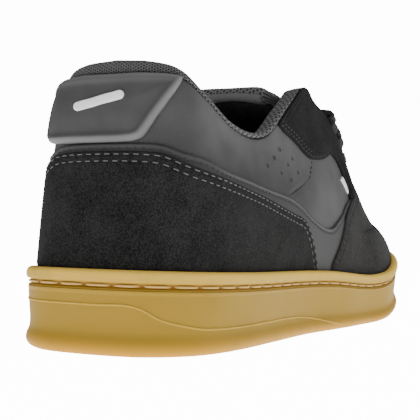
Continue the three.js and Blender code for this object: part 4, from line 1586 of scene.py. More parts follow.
    def wave(self) -> None:
        """Raised line on the wall, a half-round strip that follows its table from heel to waist."""
        for side in Side:
            s = np.linspace(0, 7.2, 340)
            station = s if side is Side.LATERAL else LAST.count - s
            along = LAST.outline(station)[..., 1] / LAST.length
            keep = along < 0.52
            station, along = station[keep], along[keep]
            z = smooth(self.lateral_wave if side is Side.LATERAL else self.medial_wave, along)
            out = self.side_out(station, z)
            path = LAST.beside(station, out, lambda _: z)
            ahead = unit(np.gradient(path, axis=0))
            normal = np.concatenate([LAST.outline_normal(station), np.zeros((len(z), 1))], -1)
            wide = unit(np.cross(normal, ahead))
            taper = (0.25 + 0.75 * ease(0, 12, arc_lengths(path)[-1] - arc_lengths(path)))[:, None]
            points, faces = swept(path[None], (wide * 0.45)[None], (normal * 0.34 * taper)[None], oval(10))
            rise = np.full(len(points), 0.86)
            name = f"wave_line_{side.name.lower()}"
            made = make_object(name, points, faces, marks={"rise": rise, "groove": np.zeros(len(points))})
            finish_piece(made, self.finishes.gum, Slot.GUM, "outsole")

    def stitches(self) -> None:
        """Long stitches in the groove all round."""
        s = np.linspace(0, LAST.count, 1400)
        path = LAST.beside(s, np.full_like(s, -0.72), lambda along: LAST.lip(along) - 5.55)
        normal = np.concatenate([LAST.outline_normal(s), np.zeros((len(s), 1))], -1)
        run = StitchRun(self.stitch_pitch, 0.88, 0.48, 0.2, 0.8, 8, 12)
        points, faces, uv = run.build(path, normal)
        made = make_object("sole_stitches", points, faces, uv)
        finish_piece(made, self.finishes.sole_thread, Slot.GUM, "outsole")

    def build(self) -> None:
        """All pieces of the sole."""
        self.body()
        self.tread()
        self.wave()
        self.stitches()


# Upper


@dataclass(frozen=True)
class Crease:
    """Soft trough or ridge along a line in the side view."""

    line: tuple[tuple[float, float], ...]
    depth: float
    width: float
    side: Side = Side.LATERAL

    def relief(self, places: Array) -> Array:
        """Height to add at places: depth times a Gaussian of the distance from the line.

        Args:
            places: places on the last.

        Returns:
            One height for each place.
        """
        path = spline(self.line, 40)
        flat = places[..., 1:].reshape(-1, 2)
        near = np.sqrt(((flat[:, None] - path[None]) ** 2).sum(-1).min(1)).reshape(places.shape[:-1])
        ends = path[[0, -1]]
        to_end = np.sqrt(((flat[:, None] - ends[None]) ** 2).sum(-1).min(1)).reshape(places.shape[:-1])
        on_side = places[..., 0] * self.side.value > 0
        return self.depth * hump(near, self.width) * ease(0, 2.5 * self.width, to_end + 0.4) * on_side


SEAM = ((133.8, 78.6), (130.8, 72.5), (128.5, 69.8), (122.2, 66.9), (114.4, 63.9), (103, 60.8))


@dataclass
class Body(Part):
    """Upper's wall, its leather face, insole, perforations and seam."""

    wall: float = 2.0
    stations: int = 440
    # how far in from the wall, and height over the cup's floor
    insole_profile: Rows = ((0, 0), (0, 3.4), (0.25, 4.4), (0.9, 4.9), (1.8, 5.0), (5, 4.9), (9, 4.7))
    creases: tuple[Crease, ...] = (
        Crease(SEAM, -0.4, 0.7),
        Crease(((30, 84), (40, 79), (52, 76)), -0.5, 3.5),
        Crease(((34, 92), (46, 84), (58, 79)), 0.35, 4.0),
        Crease(((70, 82), (86, 78), (98, 80)), -0.4, 3.0),
        Crease(((150, 77), (149, 68), (151, 59)), -0.3, 2.4),
        Crease(((158, 78), (157.5, 70), (159, 62)), 0.3, 2.2),
        Crease(((164, 79), (164, 72), (166, 64)), -0.3, 1.8),
        Crease(SEAM, -0.4, 0.7, Side.MEDIAL),
        Crease(((30, 84), (40, 79), (52, 76)), -0.5, 3.5, Side.MEDIAL),
    )
    punches: tuple[tuple[float, float], ...] = (
        (95.7, 80), (89.3, 75.9), (81, 72.2), (109.2, 77.2), (103.8, 74.2), (95.5, 70.2), (115.1, 71.6),
        (106.4, 67.7),
    )

    def relief(self, places: Array) -> Array:
        """Sum of the creases' heights."""
        return sum(crease.relief(places) for crease in self.creases)

    def shell(self) -> None:
        """Upper: closed wall between an outer face with its creases and a smooth inner face."""
        s = np.linspace(0, LAST.count, self.stations, endpoint=False)[:, None]
        up = np.concatenate([[-1, -0.6, -0.2], np.linspace(0, 0.97, 44), [0.98, 0.99, 0.996, 1]])
        grid_s, grid_v = np.broadcast_arrays(s, up[None])
        rounding = np.interp(up, [0.97, 0.99, 0.996, 1], [0, -0.15, -0.45, -1.0])
        places = LAST.point(grid_s, grid_v)
        lift = self.relief(places) + rounding[None]
        outer = LAST.off(grid_s, grid_v, lift)
        inner_lift = np.maximum(-self.wall, -self.wall + np.interp(up, [0.97, 1], [0, 0.6]))
        inner = LAST.off(grid_s, grid_v, np.broadcast_to(inner_lift[None], grid_s.shape))
        points, faces = shell(outer, inner, True)
        made = make_object("upper_wall", points, faces, marks={"edge": np.full(len(points), FAR)})
        finish_piece(made, self.finishes.leather, Slot.LEATHER, "upper")

    def insole(self) -> None:
        """Insole: rings in from the wall with a rounded edge and a gentle dish, closed by rungs."""
        s = np.linspace(0, LAST.count, 300, endpoint=False)
        inset = LAST.feather + self.wall + LAST.clearance
        rings = []
        for out, rise in self.insole_profile:
            inwards = np.full_like(s, -inset - out)
            under = rise + LAST.clearance
            rings.append(LAST.beside(s, inwards, lambda along, up=under: LAST.floor(along) + up))
        points = np.stack(rings, 1)
        groups = ringed(*points.shape[:2])
        made = make_object("insole_fabric", points, groups)
        finish_piece(made, self.finishes.lining, Slot.LINING, "insole")

    def perforations(self) -> None:
        """Punched holes: dark cups with a low rim, on both sides; the cups' near-black colour is painted
        shade of the hole's depth.
        """
        centres, normals = [], []
        for side in Side:
            found = LAST.locate(self.punches, side)
            centres.append(LAST.point(found[:, 0], found[:, 1]))
            normals.append(LAST.normal(found[:, 0], found[:, 1]))
        centre, normal = np.concatenate(centres), np.concatenate(normals)
        radii = (1.15, 1.1, 0.98, 0.85, 0.8, 0.78)
        heights = (-0.4, 0.06, 0.12, 0.1, 0.04, 0.03)
        points, faces = lathe(radii, heights, centre, normal)
        made = make_object("punch_rims", points, faces, marks={"edge": np.full(len(points), FAR)})
        finish_piece(made, self.finishes.leather, Slot.LEATHER, "upper")
        # Painted shade: shallow near-black cups stand for the shade inside holes through the leather.
        points, faces = lathe((0.8, 0.78, 0.5), (-0.3, 0.06, 0.07), centre, normal)
        made = make_object("punch_holes", points, faces)
        finish_piece(made, self.finishes.hole, Slot.LEATHER, "upper")

    def seam(self) -> None:
        """Row of small dark stitches down the seam below each eyestay."""
        parts = []
        for side in Side:
            found = spline(LAST.locate(SEAM, side), 200)
            run = StitchRun(2.6, 0.6, 0.26, 0.0, 0.3)
            s, v = found[:, 0], found[:, 1]
            parts.append(run.build(LAST.point(s, v), LAST.normal(s, v)))
        made = make_object("seam_stitches", *joined(parts))
        finish_piece(made, self.finishes.dark_thread, Slot.LEATHER, "upper")

    def label(self) -> None:
        """Small plain white label in the seam below the front of the lateral eyestay."""
        corners = LAST.locate(((171.8, 71.8), (174.6, 73.6), (183.2, 66.6), (181.6, 63.8)), Side.LATERAL)
        u, w = np.linspace(0, 1, 24)[:, None, None], np.linspace(0, 1, 10)[None, :, None]
        near = (1 - w) * corners[0] + w * corners[1]
        far = w * corners[2] + (1 - w) * corners[3]
        place = (1 - u) * near + u * far
        side = np.minimum(np.minimum(u, 1 - u) * 11, np.minimum(w, 1 - w) * 3)[..., 0]
        s, v = place[..., 0], place[..., 1]
        outer = LAST.off(s, v, 0.25 + 0.65 * np.sqrt(ease(0, 0.8, side)))
        inner = LAST.off(s, v, np.full_like(s, -0.2))
        made = make_object("plain_label", *shell(outer, inner))
        finish_piece(made, self.finishes.paint, Slot.LEATHER, "upper")

    def build(self) -> None:
        """All pieces of the body."""
        self.shell()
        self.insole()
        self.perforations()
        self.seam()
        self.label()


@dataclass
class Panel:
    """Cut panel on the last, bounded by four lines of stations and shares.

    The grid is a Coons patch: the sum of the two blends between opposite lines less the blend of the
    corners. Its height falls off in a round at the cut edges and dips along the stitch rows.
    """

    name: str
    bottom: Array
    top: Array
    left: Array
    right: Array
    base: float
    thickness: float
    cut: tuple[str, ...] = ("top", "left", "right")
    rounding: float = 0.8
    rows: tuple[float, ...] = ()
    row_depth: float = 0.28
    ridge: tuple[float, float, float] | None = None
    fine: float = 0.45
    coarse: float = 2.2
    falls_in_cup: bool = True

    def line(self, which: str, shares: Array) -> Array:
        """Places on one boundary line at shares of its length in space.

        Args:
            which: the line's name.
            shares: shares of its length.

        Returns:
            Rows of station and share.
        """
        edge = getattr(self, which)
        dense = resample(edge, np.linspace(0, 1, 400), np.linspace(0, 1, len(edge)))
        return resample(dense, shares, arc_lengths(LAST.point(dense[:, 0], dense[:, 1])))

    def length(self, which: str) -> float:
        """Length of a boundary line in space."""
        dense = self.line(which, np.linspace(0, 1, 300))
        return float(arc_lengths(LAST.point(dense[:, 0], dense[:, 1]))[-1])

    def grid(self) -> Array:
        """Stations and shares of the patch's points.

        Returns:
            Station and share of each point, shaped (across, up, 2).
        """
        across = max(self.length("top"), self.length("bottom"))
        up = max(self.length("left"), self.length("right"))
        u = spread(across, self.fine if "left" in self.cut else self.coarse, self.coarse)
        t = spread(up, self.fine, self.coarse)
        low, high = self.line("bottom", u)[:, None], self.line("top", u)[:, None]
        left, right = self.line("left", t)[None], self.line("right", t)[None]
        uu, tt = u[:, None, None], t[None, :, None]
        corners = (
            (1 - uu) * (1 - tt) * low[:1] + uu * (1 - tt) * low[-1:] + (1 - uu) * tt * high[:1]
            + uu * tt * high[-1:]
        )
        return (1 - tt) * low + tt * high + (1 - uu) * left + uu * right - corners

    def boundary(self) -> Array:
        """Cut edges as one line of stations and shares: up the left side, along the top, down the right.

        Returns:
            Rows of station and share.
        """
        at = np.linspace(0, 1, 500)
        chain = []
        if "left" in self.cut:
            chain.append(self.line("left", at[::2]))
        if "top" in self.cut:
            chain.append(self.line("top", at))
        if "right" in self.cut:
            chain.append(self.line("right", at[::2])[::-1])
        if "bottom" in self.cut:
            chain.append(self.line("bottom", at)[::-1])
        line = np.concatenate(chain)
        keep = np.concatenate([[True], np.linalg.norm(np.diff(line, axis=0), axis=1) > 1e-6])
        return line[keep]

    def height(self, places: Array, edge: Array) -> Array:
        """Height of the face over the last, by the distance from the cut edge.

        Args:
            places: places on the last.
            edge: their distances from the cut edge.

        Returns:
            One height for each place.
        """
        lean = np.clip(edge / self.rounding, 0, 1)
        face = self.thickness * (0.4 + 0.6 * np.sqrt(1 - (1 - lean) ** 2))
        for row in self.rows:
            face = face - self.row_depth * hump(edge - row, 0.6)
        if self.ridge is not None:
            at, tall, wide = self.ridge
            face = face + tall * hump(edge - at, wide)
        return self.base + face

    def build(
        self, material: bpy.types.Material, slot: Slot, node: str, relief: Relief | None = None,
    ) -> None:
        """Makes the panel.

        Args:
            material: its finish.
            slot: its material slot.
            node: the solid that it stands for.
            relief: further height, worked out from the places on the last.
        """
        grid = self.grid()
        s, v = grid[..., 0], grid[..., 1]
        places = LAST.point(s, v)
        rim = self.boundary()
        edge = distance_to_line(places, LAST.point(rim[:, 0], rim[:, 1]))
        lift = self.height(places, edge)
        if relief is not None:
            lift = lift + relief(places, edge)
        if self.falls_in_cup:
            lift = np.minimum(lift, 1.9 + 3.0 * ease(0.0, 0.05, v))
        outer = LAST.off(s, v, lift)
        inner = LAST.off(s, v, np.full_like(s, self.base - 0.25))
        marks = np.concatenate([edge.ravel(), np.zeros(edge.size)])
        made = make_object(self.name, *shell(outer, inner), marks={"edge": marks})
        finish_piece(made, material, slot, node)

    def sew(self, inset: float, run: StitchRun, line: Array | None = None) -> Form:
        """Stitches at a distance inside the cut edges or a given line.

        Args:
            inset: how far inside.
            run: the kind of stitches.
            line: the line, if not the cut edges.

        Returns:
            The stitches.
        """
        rim = self.boundary() if line is None else line
        s, v = LAST.moved(rim, -inset).T
        place = LAST.point(s, v)
        at = np.linspace(0, 1, 900)
        dense = resample(place, at)
        ride = resample(LAST.normal(s, v), at, arc_lengths(place))
        lift = self.base + self.thickness - self.row_depth
        return run.build(dense + ride * lift, unit(ride))


@dataclass
class Panels(Part):
    """Band, counter, vamp, toe overlay and eyestays with their stitching."""

    tuck: float = -0.25
    counter_rows: Rows = (
        (0, 0.728), (0.04, 0.716), (0.055, 0.69), (0.072, 0.667), (0.11, 0.643), (0.17, 0.615),
        (0.233, 0.588), (0.303, 0.551), (0.383, 0.511),
    )
    counter_front: tuple[tuple[float, float], ...] = (
        (112, 52.4), (118.5, 50.4), (123.2, 47), (126.6, 43.2), (129.2, 39.6), (131.3, 36), (133, 32.8),
        (134.3, 29.8), (135, 26.6),
    )
    band_rows: Rows = (
        (0, 0.754), (0.04, 0.748), (0.055, 0.722), (0.083, 0.7), (0.12, 0.672), (0.203, 0.643),
        (0.27, 0.619), (0.335, 0.599), (0.383, 0.568), (0.423, 0.523), (0.458, 0.489), (0.484, 0.472),
        (0.507, 0.475), (0.529, 0.507), (0.555, 0.545), (0.573, 0.582), (0.6, 0.612), (0.64, 0.66),
    )
    vamp_rear: tuple[tuple[float, float], ...] = (
        (149, 26), (150.2, 29), (152, 32.7), (156.8, 38.4), (162.4, 46), (168, 54), (178, 60.6),
        (187, 64), (193.5, 70), (197, 77.5),
    )
    toe_rows: Rows = (
        (0.5, 0.41), (0.62, 0.455), (0.7, 0.47), (0.76, 0.465), (0.82, 0.47), (0.86, 0.51),
        (0.885, 0.62), (0.9, 0.9),
    )
    eyestay_low: tuple[tuple[float, float], ...] = (
        (95.9, 90.4), (103, 87.6), (115.6, 83.9), (125, 80.3), (133.8, 78.8), (144, 79.4), (154.5, 81.2),
        (161.5, 83.4), (168, 81.5), (174, 76), (179, 67.5), (181.5, 61.8),
    )
    eyestay_start: float = 5.62

    def high(self, rows: Rows) -> Height:
        """Edge's height as a function of the share of the length."""
        return lambda along: smooth(rows, along) * LAST.heel_height

    def band(self) -> Panel:
        """Leather band: from its tuck in the cup up to its own top edge, under counter and vamp.

        Returns:
            The panel.
        """
        reach = 8.35
        s = np.linspace(-reach, reach, 400)
        top = np.stack([s, LAST.share_under(s, self.high(self.band_rows))], -1)
        low = np.stack([s, np.full_like(s, self.tuck)], -1)
        ends = np.linspace(0, 1, 40)[:, None]
        panel = Panel(
            "band_leather", low, top, low[0] + ends * (top[0] - low[0]), low[-1] + ends * (top[-1] - low[-1]),
            0.05, 1.1, ("top",), 0.6, (1.9,), 0.3, (0.8, 0.2, 0.55),
        )
        panel.build(self.finishes.band, Slot.LEATHER, "band")
        return panel

    def counter(self) -> Panel:
        """Suede counter round the heel.

        Returns:
            The panel.
        """
        fronts = {}
        for side in Side:
            found = LAST.locate(self.counter_front, side)
            dense = spline(found, 80)
            end = dense[-1]
            share = np.linspace(0, 1, 30)[1:, None]
            down = np.concatenate([dense, end + share * (np.array([end[0], self.tuck]) - end)])
            fronts[side] = down
        first, last = fronts[Side.MEDIAL][0, 0], fronts[Side.LATERAL][0, 0]
        s = np.linspace(first, last, 300)
        top = np.stack([s, LAST.share_under(s, self.high(self.counter_rows))], -1)
        top[0], top[-1] = fronts[Side.MEDIAL][0], fronts[Side.LATERAL][0]
        low_s = np.linspace(fronts[Side.MEDIAL][-1, 0], fronts[Side.LATERAL][-1, 0], 300)
        low = np.stack([low_s, np.full(300, self.tuck)], -1)
        panel = Panel(
            "counter_suede", low, top, fronts[Side.MEDIAL][::-1], fronts[Side.LATERAL][::-1], 1.0, 1.25,
            rows=(1.1, 3.7),
        )
        panel.build(self.finishes.counter, Slot.SUEDE, "counter")
        return panel

    def rear_edge(self, side: Side) -> Array:
        """Vamp's rear edge from its tuck up to the top line.

        Args:
            side: side of the shoe.

        Returns:
            Rows of station and share.
        """
        dense = spline(LAST.locate(self.vamp_rear, side), 90)
        dense[:, 1] = np.clip(dense[:, 1], -0.2, 1)
        dense[-1, 1] = 1.0
        share = np.linspace(0, 1, 20)[:-1, None]
        start = np.array([dense[0, 0], self.tuck])
        return np.concatenate([start + share * (dense[0] - start), dense])

    def forward(self, places: Array, edge: Array) -> Array:
        """Vamp's relief: it sinks by the band's thickness a little way ahead of its rear edge."""
        return -0.7 * ease(5, 22, edge)

    def vamp(self) -> Panel:
        """Suede vamp over the forefoot.

        Returns:
            The panel.
        """
        lateral, medial = self.rear_edge(Side.LATERAL), self.rear_edge(Side.MEDIAL) + (LAST.count, 0)
        top_s = np.linspace(lateral[-1, 0], medial[-1, 0], 300)
        low_s = np.linspace(lateral[0, 0], medial[0, 0], 300)
        panel = Panel(
            "vamp_suede", np.stack([low_s, np.full(300, self.tuck)], -1), np.stack([top_s, np.ones(300)], -1),
            lateral, medial, 1.0, 1.3, rows=(1.1, 3.4),
        )
        panel.build(self.finishes.vamp, Slot.SUEDE, "vamp", self.forward)
        return panel

    def sink(self, places: Array, edge: Array) -> Array:
        """Toe overlay's relief: it follows the vamp, and slips under it towards the rear."""
        return -0.55 * ease(5, 22, edge) - 1.5 * (1 - ease(176, 210, places[..., 1]))

    def overlay(self) -> Panel:
        """Toe overlay: the vamp's second layer, below its own line.

        Returns:
            The panel.
        """
        sides = []
        for side in Side:
            rear = self.rear_edge(side)
            z = LAST.point(rear[:, 0], rear[:, 1])[:, 2]
            sides.append(rear[: int(np.searchsorted(z, 42.5))])
        lateral, medial = sides[0], sides[1] + (LAST.count, 0)
        s = np.linspace(lateral[-1, 0], medial[-1, 0], 300)
        top = np.stack([s, LAST.share_under(s, self.high(self.toe_rows))], -1)
        top[0], top[-1] = lateral[-1], medial[-1]
        low_s = np.linspace(lateral[0, 0], medial[0, 0], 300)
        panel = Panel(
            "toe_overlay", np.stack([low_s, np.full(300, self.tuck)], -1), top, lateral, medial, 1.3, 1.4,
            rows=(1.1,), fine=0.5,
        )
        panel.build(self.finishes.vamp, Slot.SUEDE, "vamp", self.sink)
        return panel

    def eyestay(self, side: Side) -> Panel:
        """Suede eyestay along one side of the throat, its front end under the vamp.

        Args:
            side: side of the throat.

        Returns:
            The panel.
        """
        low = spline(LAST.locate(self.eyestay_low, side), 200)
        shift = LAST.count if side is Side.MEDIAL else 0
        rear = self.rear_edge(side)
        top_part = rear[LAST.point(rear[:, 0], rear[:, 1])[:, 2] > 61.0]
        tucked = top_part + (0.22 * side.value, 0)
        tucked[:, 1] = np.clip(tucked[:, 1], 0, 1)
        low[-1] = tucked[0]
        start = np.array([low[0, 0], 1.0])
        ends = np.linspace(0, 1, 12)[:, None]
        top_s = np.linspace(start[0], tucked[-1, 0], 200)
        top = np.stack([top_s, np.ones(200)], -1)
        rear_end = low[0] + ends * (start - low[0])
        edges = [low, top, rear_end, tucked]
        edges = [edge + (shift, 0) for edge in edges]
        panel = Panel(
            f"eyestay_suede_{side.name.lower()}", *edges, 0.1, 1.35, ("left", "bottom", "top"),
            rows=(1.2, 3.3), falls_in_cup=False, fine=0.5,
        )
        panel.build(self.finishes.eyestay, Slot.SUEDE, f"eyestay_{side.name.lower()}", self.flare)
        return panel

    def flare(self, places: Array, edge: Array) -> Array:
        """Eyestay's extra thickness along the upper half of the throat."""
        along = places[..., 1] / LAST.length
        return 1.3 * ease(0.42, 0.52, along) * (1 - ease(0.6, 0.68, along)) * ease(0, 4, edge)

    def thread(
        self, name: str, parts: Sequence[Form], material: bpy.types.Material, slot: Slot, node: str,
    ) -> None:
        """Joins stitch rows into one piece."""
        finish_piece(make_object(name, *joined(parts)), material, slot, node)

    def build(self) -> None:
        """All panels, then their stitches."""
        band = self.band()
        counter = self.counter()
        vamp = self.vamp()
        self.overlay()
        stays = [self.eyestay(side) for side in Side]
        dark = self.finishes.dark_thread
        loose = StitchRun(3.9, 0.72, 0.24, 0.14)
        rows = [counter.sew(1.1, loose), counter.sew(3.7, loose)]
        self.thread("counter_stitches", rows, self.finishes.grey_thread, Slot.SUEDE, "counter")
        tight = StitchRun(3.0, 0.62, 0.24, 0.1)
        self.thread("vamp_stitches", self.rear_rows(vamp, tight), dark, Slot.SUEDE, "vamp")
        for side, stay in zip(Side, stays):
            rows = [stay.sew(inset, tight, self.stay_edge(stay, side)) for inset in (1.2, 3.3)]
            name = side.name.lower()
            self.thread(f"eyestay_stitches_{name}", rows, dark, Slot.SUEDE, f"eyestay_{name}")
        pricks = StitchRun(3.2, 0.4, 0.34, 0.02, 0.3)
        self.thread("band_stitches", [band.sew(1.9, pricks)], dark, Slot.LEATHER, "band")

    def rear_rows(self, vamp: Panel, run: StitchRun) -> list[Form]:
        """Two rows along each rear edge of the vamp.

        Args:
            vamp: the panel.
            run: the kind of stitches.

        Returns:
            The rows of stitches.
        """
        rows = []
        at = np.linspace(0.06, 1, 300)
        for inset in (1.1, 3.4):
            rows.append(vamp.sew(inset, run, vamp.line("left", at)))
            rows.append(vamp.sew(inset, run, vamp.line("right", at)[::-1]))
        return rows

    def stay_edge(self, stay: Panel, side: Side) -> Array:
        """Eyestay's lower edge, run so that the panel is on the left."""
        edge = stay.line("bottom", np.linspace(0.01, 0.99, 400))
        return edge[::-1] if side is Side.LATERAL else edge


# Heel tab


@dataclass
class HeelTab(Part):
    """Moulded tab on the back of the collar, with a soft raised rim and a plain raised bar."""

    thickness: float = 3.2
    corner: float = 6.5
    low: float = 76.0
    high: float = 101.6
    # station and height of each side edge, from the bottom up
    lateral_edge: Rows = (
        (0.72, 76.5), (0.93, 77.6), (1.08, 80.0), (1.31, 85), (1.56, 90), (1.84, 95.3), (1.97, 98.3),
    )
    medial_edge: Rows = (
        (-2.05, 76.6), (-2.32, 78.2), (-2.44, 81.5), (-2.55, 88), (-2.66, 92), (-2.72, 94.5),
    )
    bar_centre: tuple[float, float] = (0.5, 91.0)
    bar_length: float = 21.0
    bar_width: float = 3.4
    bar_tilt: float = 12.0

    def side_edge(self, rows: Rows) -> Array:
        """Side edge from the bottom up to the top line, from rows of station and height.

        Args:
            rows: station and height of each place.

        Returns:
            Rows of station and share.
        """
        table = np.array(rows)
        share = np.array([LAST.share_at(np.array([s]), z)[0] for s, z in table])
        line = np.concatenate([np.stack([table[:, 0], share], -1), [[table[-1, 0] + 0.01, 1.0]]])
        return spline(line, 60)

    def panel(self) -> Panel:
        """Tab's patch, with its lower corners rounded by the first rows of its side edges.

        Returns:
            The panel.
        """
        right, left = self.side_edge(self.lateral_edge), self.side_edge(self.medial_edge)
        s = np.linspace(left[0, 0], right[0, 0], 80)
        bottom = np.stack([s, LAST.share_at(s, self.low)], -1)
        lift = np.linspace(0, 1, 80)[:, None] ** 12
        bottom = bottom + lift * (right[0] - bottom[-1]) + lift[::-1] * (left[0] - bottom[0])
        top_s = np.linspace(left[-1, 0], right[-1, 0], 60)
        return Panel(
            "heel_tab_rubber", bottom, np.stack([top_s, np.ones(60)], -1), left, right, 0.3,
            self.thickness, ("left", "top", "right", "bottom"), 2.2, fine=0.4, coarse=1.4, falls_in_cup=False,
        )

    def relief(self, places: Array, edge: Array) -> Array:
        """Soft pillow: a low rim bead, a dip inside it, a fuller middle and a faint upright fold.

        Args:
            places: places on the last.
            edge: their distances from the cut edge.

        Returns:
            One height for each place.
        """
        bead = 0.35 * hump(edge - 2.0, 1.1)
        middle = 0.5 * ease(3, 11, edge)
        fold = -0.28 * hump(places[..., 0] + 2.4, 1.8) * ease(1, 5, edge)
        return bead + middle + fold

    def bar(self) -> None:
        """Plain white bar with round ends: a flat rounded strip bent on to the tab."""
        angle = math.radians(self.bar_tilt)
        radius = 0.5 * self.bar_width
        half = 0.5 * self.bar_length - radius
        turn = np.linspace(-np.pi / 2, np.pi / 2, 14)
        straight = np.linspace(1, -1, 22)[1:-1] * half
        middle = np.roll(np.concatenate([np.full(14, half), straight, np.full(14, -half), -straight]), -7)
        ring = np.roll(np.concatenate([
            np.stack([np.cos(turn), np.sin(turn)], -1), np.tile([0.0, 1.0], (20, 1)),
            -np.stack([np.cos(turn), np.sin(turn)], -1), np.tile([0.0, -1.0], (20, 1)),
        ]), -7, 0)
        shrink = np.array([1.0, 1.0, 0.95, 0.82, 0.5, 0.1])[:, None]
        rise = np.array([-0.8, 0.25, 0.45, 0.55, 0.6, 0.6])[:, None]
        flat_x = middle[None] + radius * shrink * ring[:, 0]
        flat_z = radius * shrink * ring[:, 1]
        x = self.bar_centre[0] + flat_x * math.cos(angle) - flat_z * math.sin(angle)
        z = self.bar_centre[1] + flat_x * math.sin(angle) + flat_z * math.cos(angle)
        found = [LAST.locate(np.stack([x.ravel(), z.ravel()], -1), side, (0, 2), 3.5) for side in Side]
        lateral = (x.ravel() > LAST.centre_rows[0][1])[:, None]
        place = np.where(lateral, found[0], found[1])
        places = LAST.point(place[:, 0], place[:, 1])
        face = self.thickness + self.relief(places, np.full(len(places), 12.0))
        points = LAST.off(place[:, 0], place[:, 1], 0.3 + face + (rise + np.zeros_like(x)).ravel())
        rows, columns = x.shape
        k = np.arange(columns // 2 - 1)
        rungs = np.stack([k, k + 1, columns - 2 - k, columns - 1 - k], -1)
        faces = [grid_faces(rows, columns, 0, False, True), rungs, rungs[:, ::-1] + (rows - 1) * columns]
        made = make_object("tab_bar", points, np.concatenate(faces))
        finish_piece(made, self.finishes.paint, Slot.RUBBER, "heel_tab")

    def build(self) -> None:
        """Tab and bar."""
        self.panel().build(self.finishes.tab, Slot.RUBBER, "heel_tab", self.relief)
        self.bar()


# Collar and tongue


@dataclass
class Collar(Part):
    """Padded mesh lining, rolled over the top line."""

    end: float = 6.62
    stations: int = 420
    roll_height: float = 5.5
    roll_width: float = 7.0
    lining: float = 3.0
    depth: float = 34.0
    roll_rows: Rows = (
        (0, 1), (0.7, 0.88), (2, 0.72), (3, 0.6), (4.2, 0.48), (5, 0.45), (5.6, 0.52), (6.1, 0.25), (6.6, 0),
    )

    def build(self) -> None:
        """Closed section swept along the top line.

        Each section runs up outside the top line, over the roll and down the padded inside. Places near
        the top are the top line plus out times the normal plus up times the rib's own direction.
        """
        s = np.linspace(-self.end, self.end, self.stations)
        roll = self.roll_height * smooth(self.roll_rows, np.abs(s))
        ends = ease(0, 0.25, self.end - np.abs(s))
        top = LAST.point(s, 1.0)
        out = LAST.normal(s, 1.0)
        up = unit(top - LAST.point(s, 0.96))
        low = LAST.share_below(s, self.depth)
        near = LAST.share_below(s, 0.3 * self.depth)
        gap = -2.3

        def at(side: Array | float, rise: Array | float) -> Array:
            """Place beside the top line."""
            return top + np.multiply(side, 1.0)[..., None] * out + np.multiply(rise, 1.0)[..., None] * up

        def hung(share: Array, lift: float) -> Array:
            """Place inside the wall at a share of the rib."""
            return LAST.off(s, share, np.full_like(s, lift))

        one = np.ones_like(s)
        width = self.roll_width
        section = np.stack([
            hung(low, gap), hung(0.5 * (low + near), gap), hung(near, gap), at(gap * one, -1.0 * one),
            at(gap * one, 0.25 * one), at(-1.2 * one, 0.35 * one), at(0.15 * one, 0.45 * one),
            at(0.45 * one, 0.12 * roll + 0.5), at(0.35 * one, 0.45 * roll + 0.3),
            at(-0.25 * one, 0.75 * roll + 0.3), at(-0.2 * width * one, 0.95 * roll + 0.2),
            at(-0.45 * width * one, roll + 0.2), at(-0.7 * width * one, 0.92 * roll),
            at(gap - 0.6 * width * one, 0.6 * roll), at(gap - 0.8 * width * one, 0.1 * roll - 0.6),
            at(gap - 0.88 * width * one, -3.2 * one), hung(near, gap - 0.85 * width),
            hung(0.5 * (low + near), gap - 0.62 * width), hung(low, gap - self.lining),
        ], 1)
        closed = np.concatenate([section, section[:, :1]], 1)
        knots = np.arange(closed.shape[1])
        fine = np.linspace(0, closed.shape[1] - 1, 3 * (closed.shape[1] - 1) + 1)[:-1]
        table = np.moveaxis(closed, 1, 0).reshape(len(knots), -1)
        i = np.clip(np.floor(fine).astype(int), 0, len(knots) - 2)
        t = (fine - i)[:, None]
        before, after = table[(i - 1) % (len(knots) - 1)], table[(i + 2) % (len(knots) - 1)]
        a, b, c, d = before, table[i], table[i + 1], after
        curve = catmull(a, b, c, d, t)
        rings = np.moveaxis(curve.reshape(len(fine), len(s), 3), 0, 1)
        middle = rings.mean(1, keepdims=True)
        rings = middle + (rings - middle) * (0.35 + 0.65 * ends)[:, None, None]
        rows, columns = rings.shape[:2]
        across = np.cumsum(np.linalg.norm(np.diff(rings, axis=1, append=rings[:, :1]), axis=-1), 1)
        size = 1.45 - 0.8 * ease(2.4, 4.6, np.abs(s))
        across = (across - across[:, columns // 2 : columns // 2 + 1]) * size[:, None]
        steps = np.diff(arc_lengths(top), prepend=0) * size
        along = np.broadcast_to(np.cumsum(steps)[:, None], across.shape)
        faces = [grid_faces(rows, columns, 0, False, True), end_caps(rows, columns)]
        marks = {"binding": np.zeros(across.size), "inside": np.zeros(across.size)}
        made = make_object("collar_mesh", rings, faces, np.stack([along, across], -1), marks)
        finish_piece(made, self.finishes.collar, Slot.MESH, "collar")


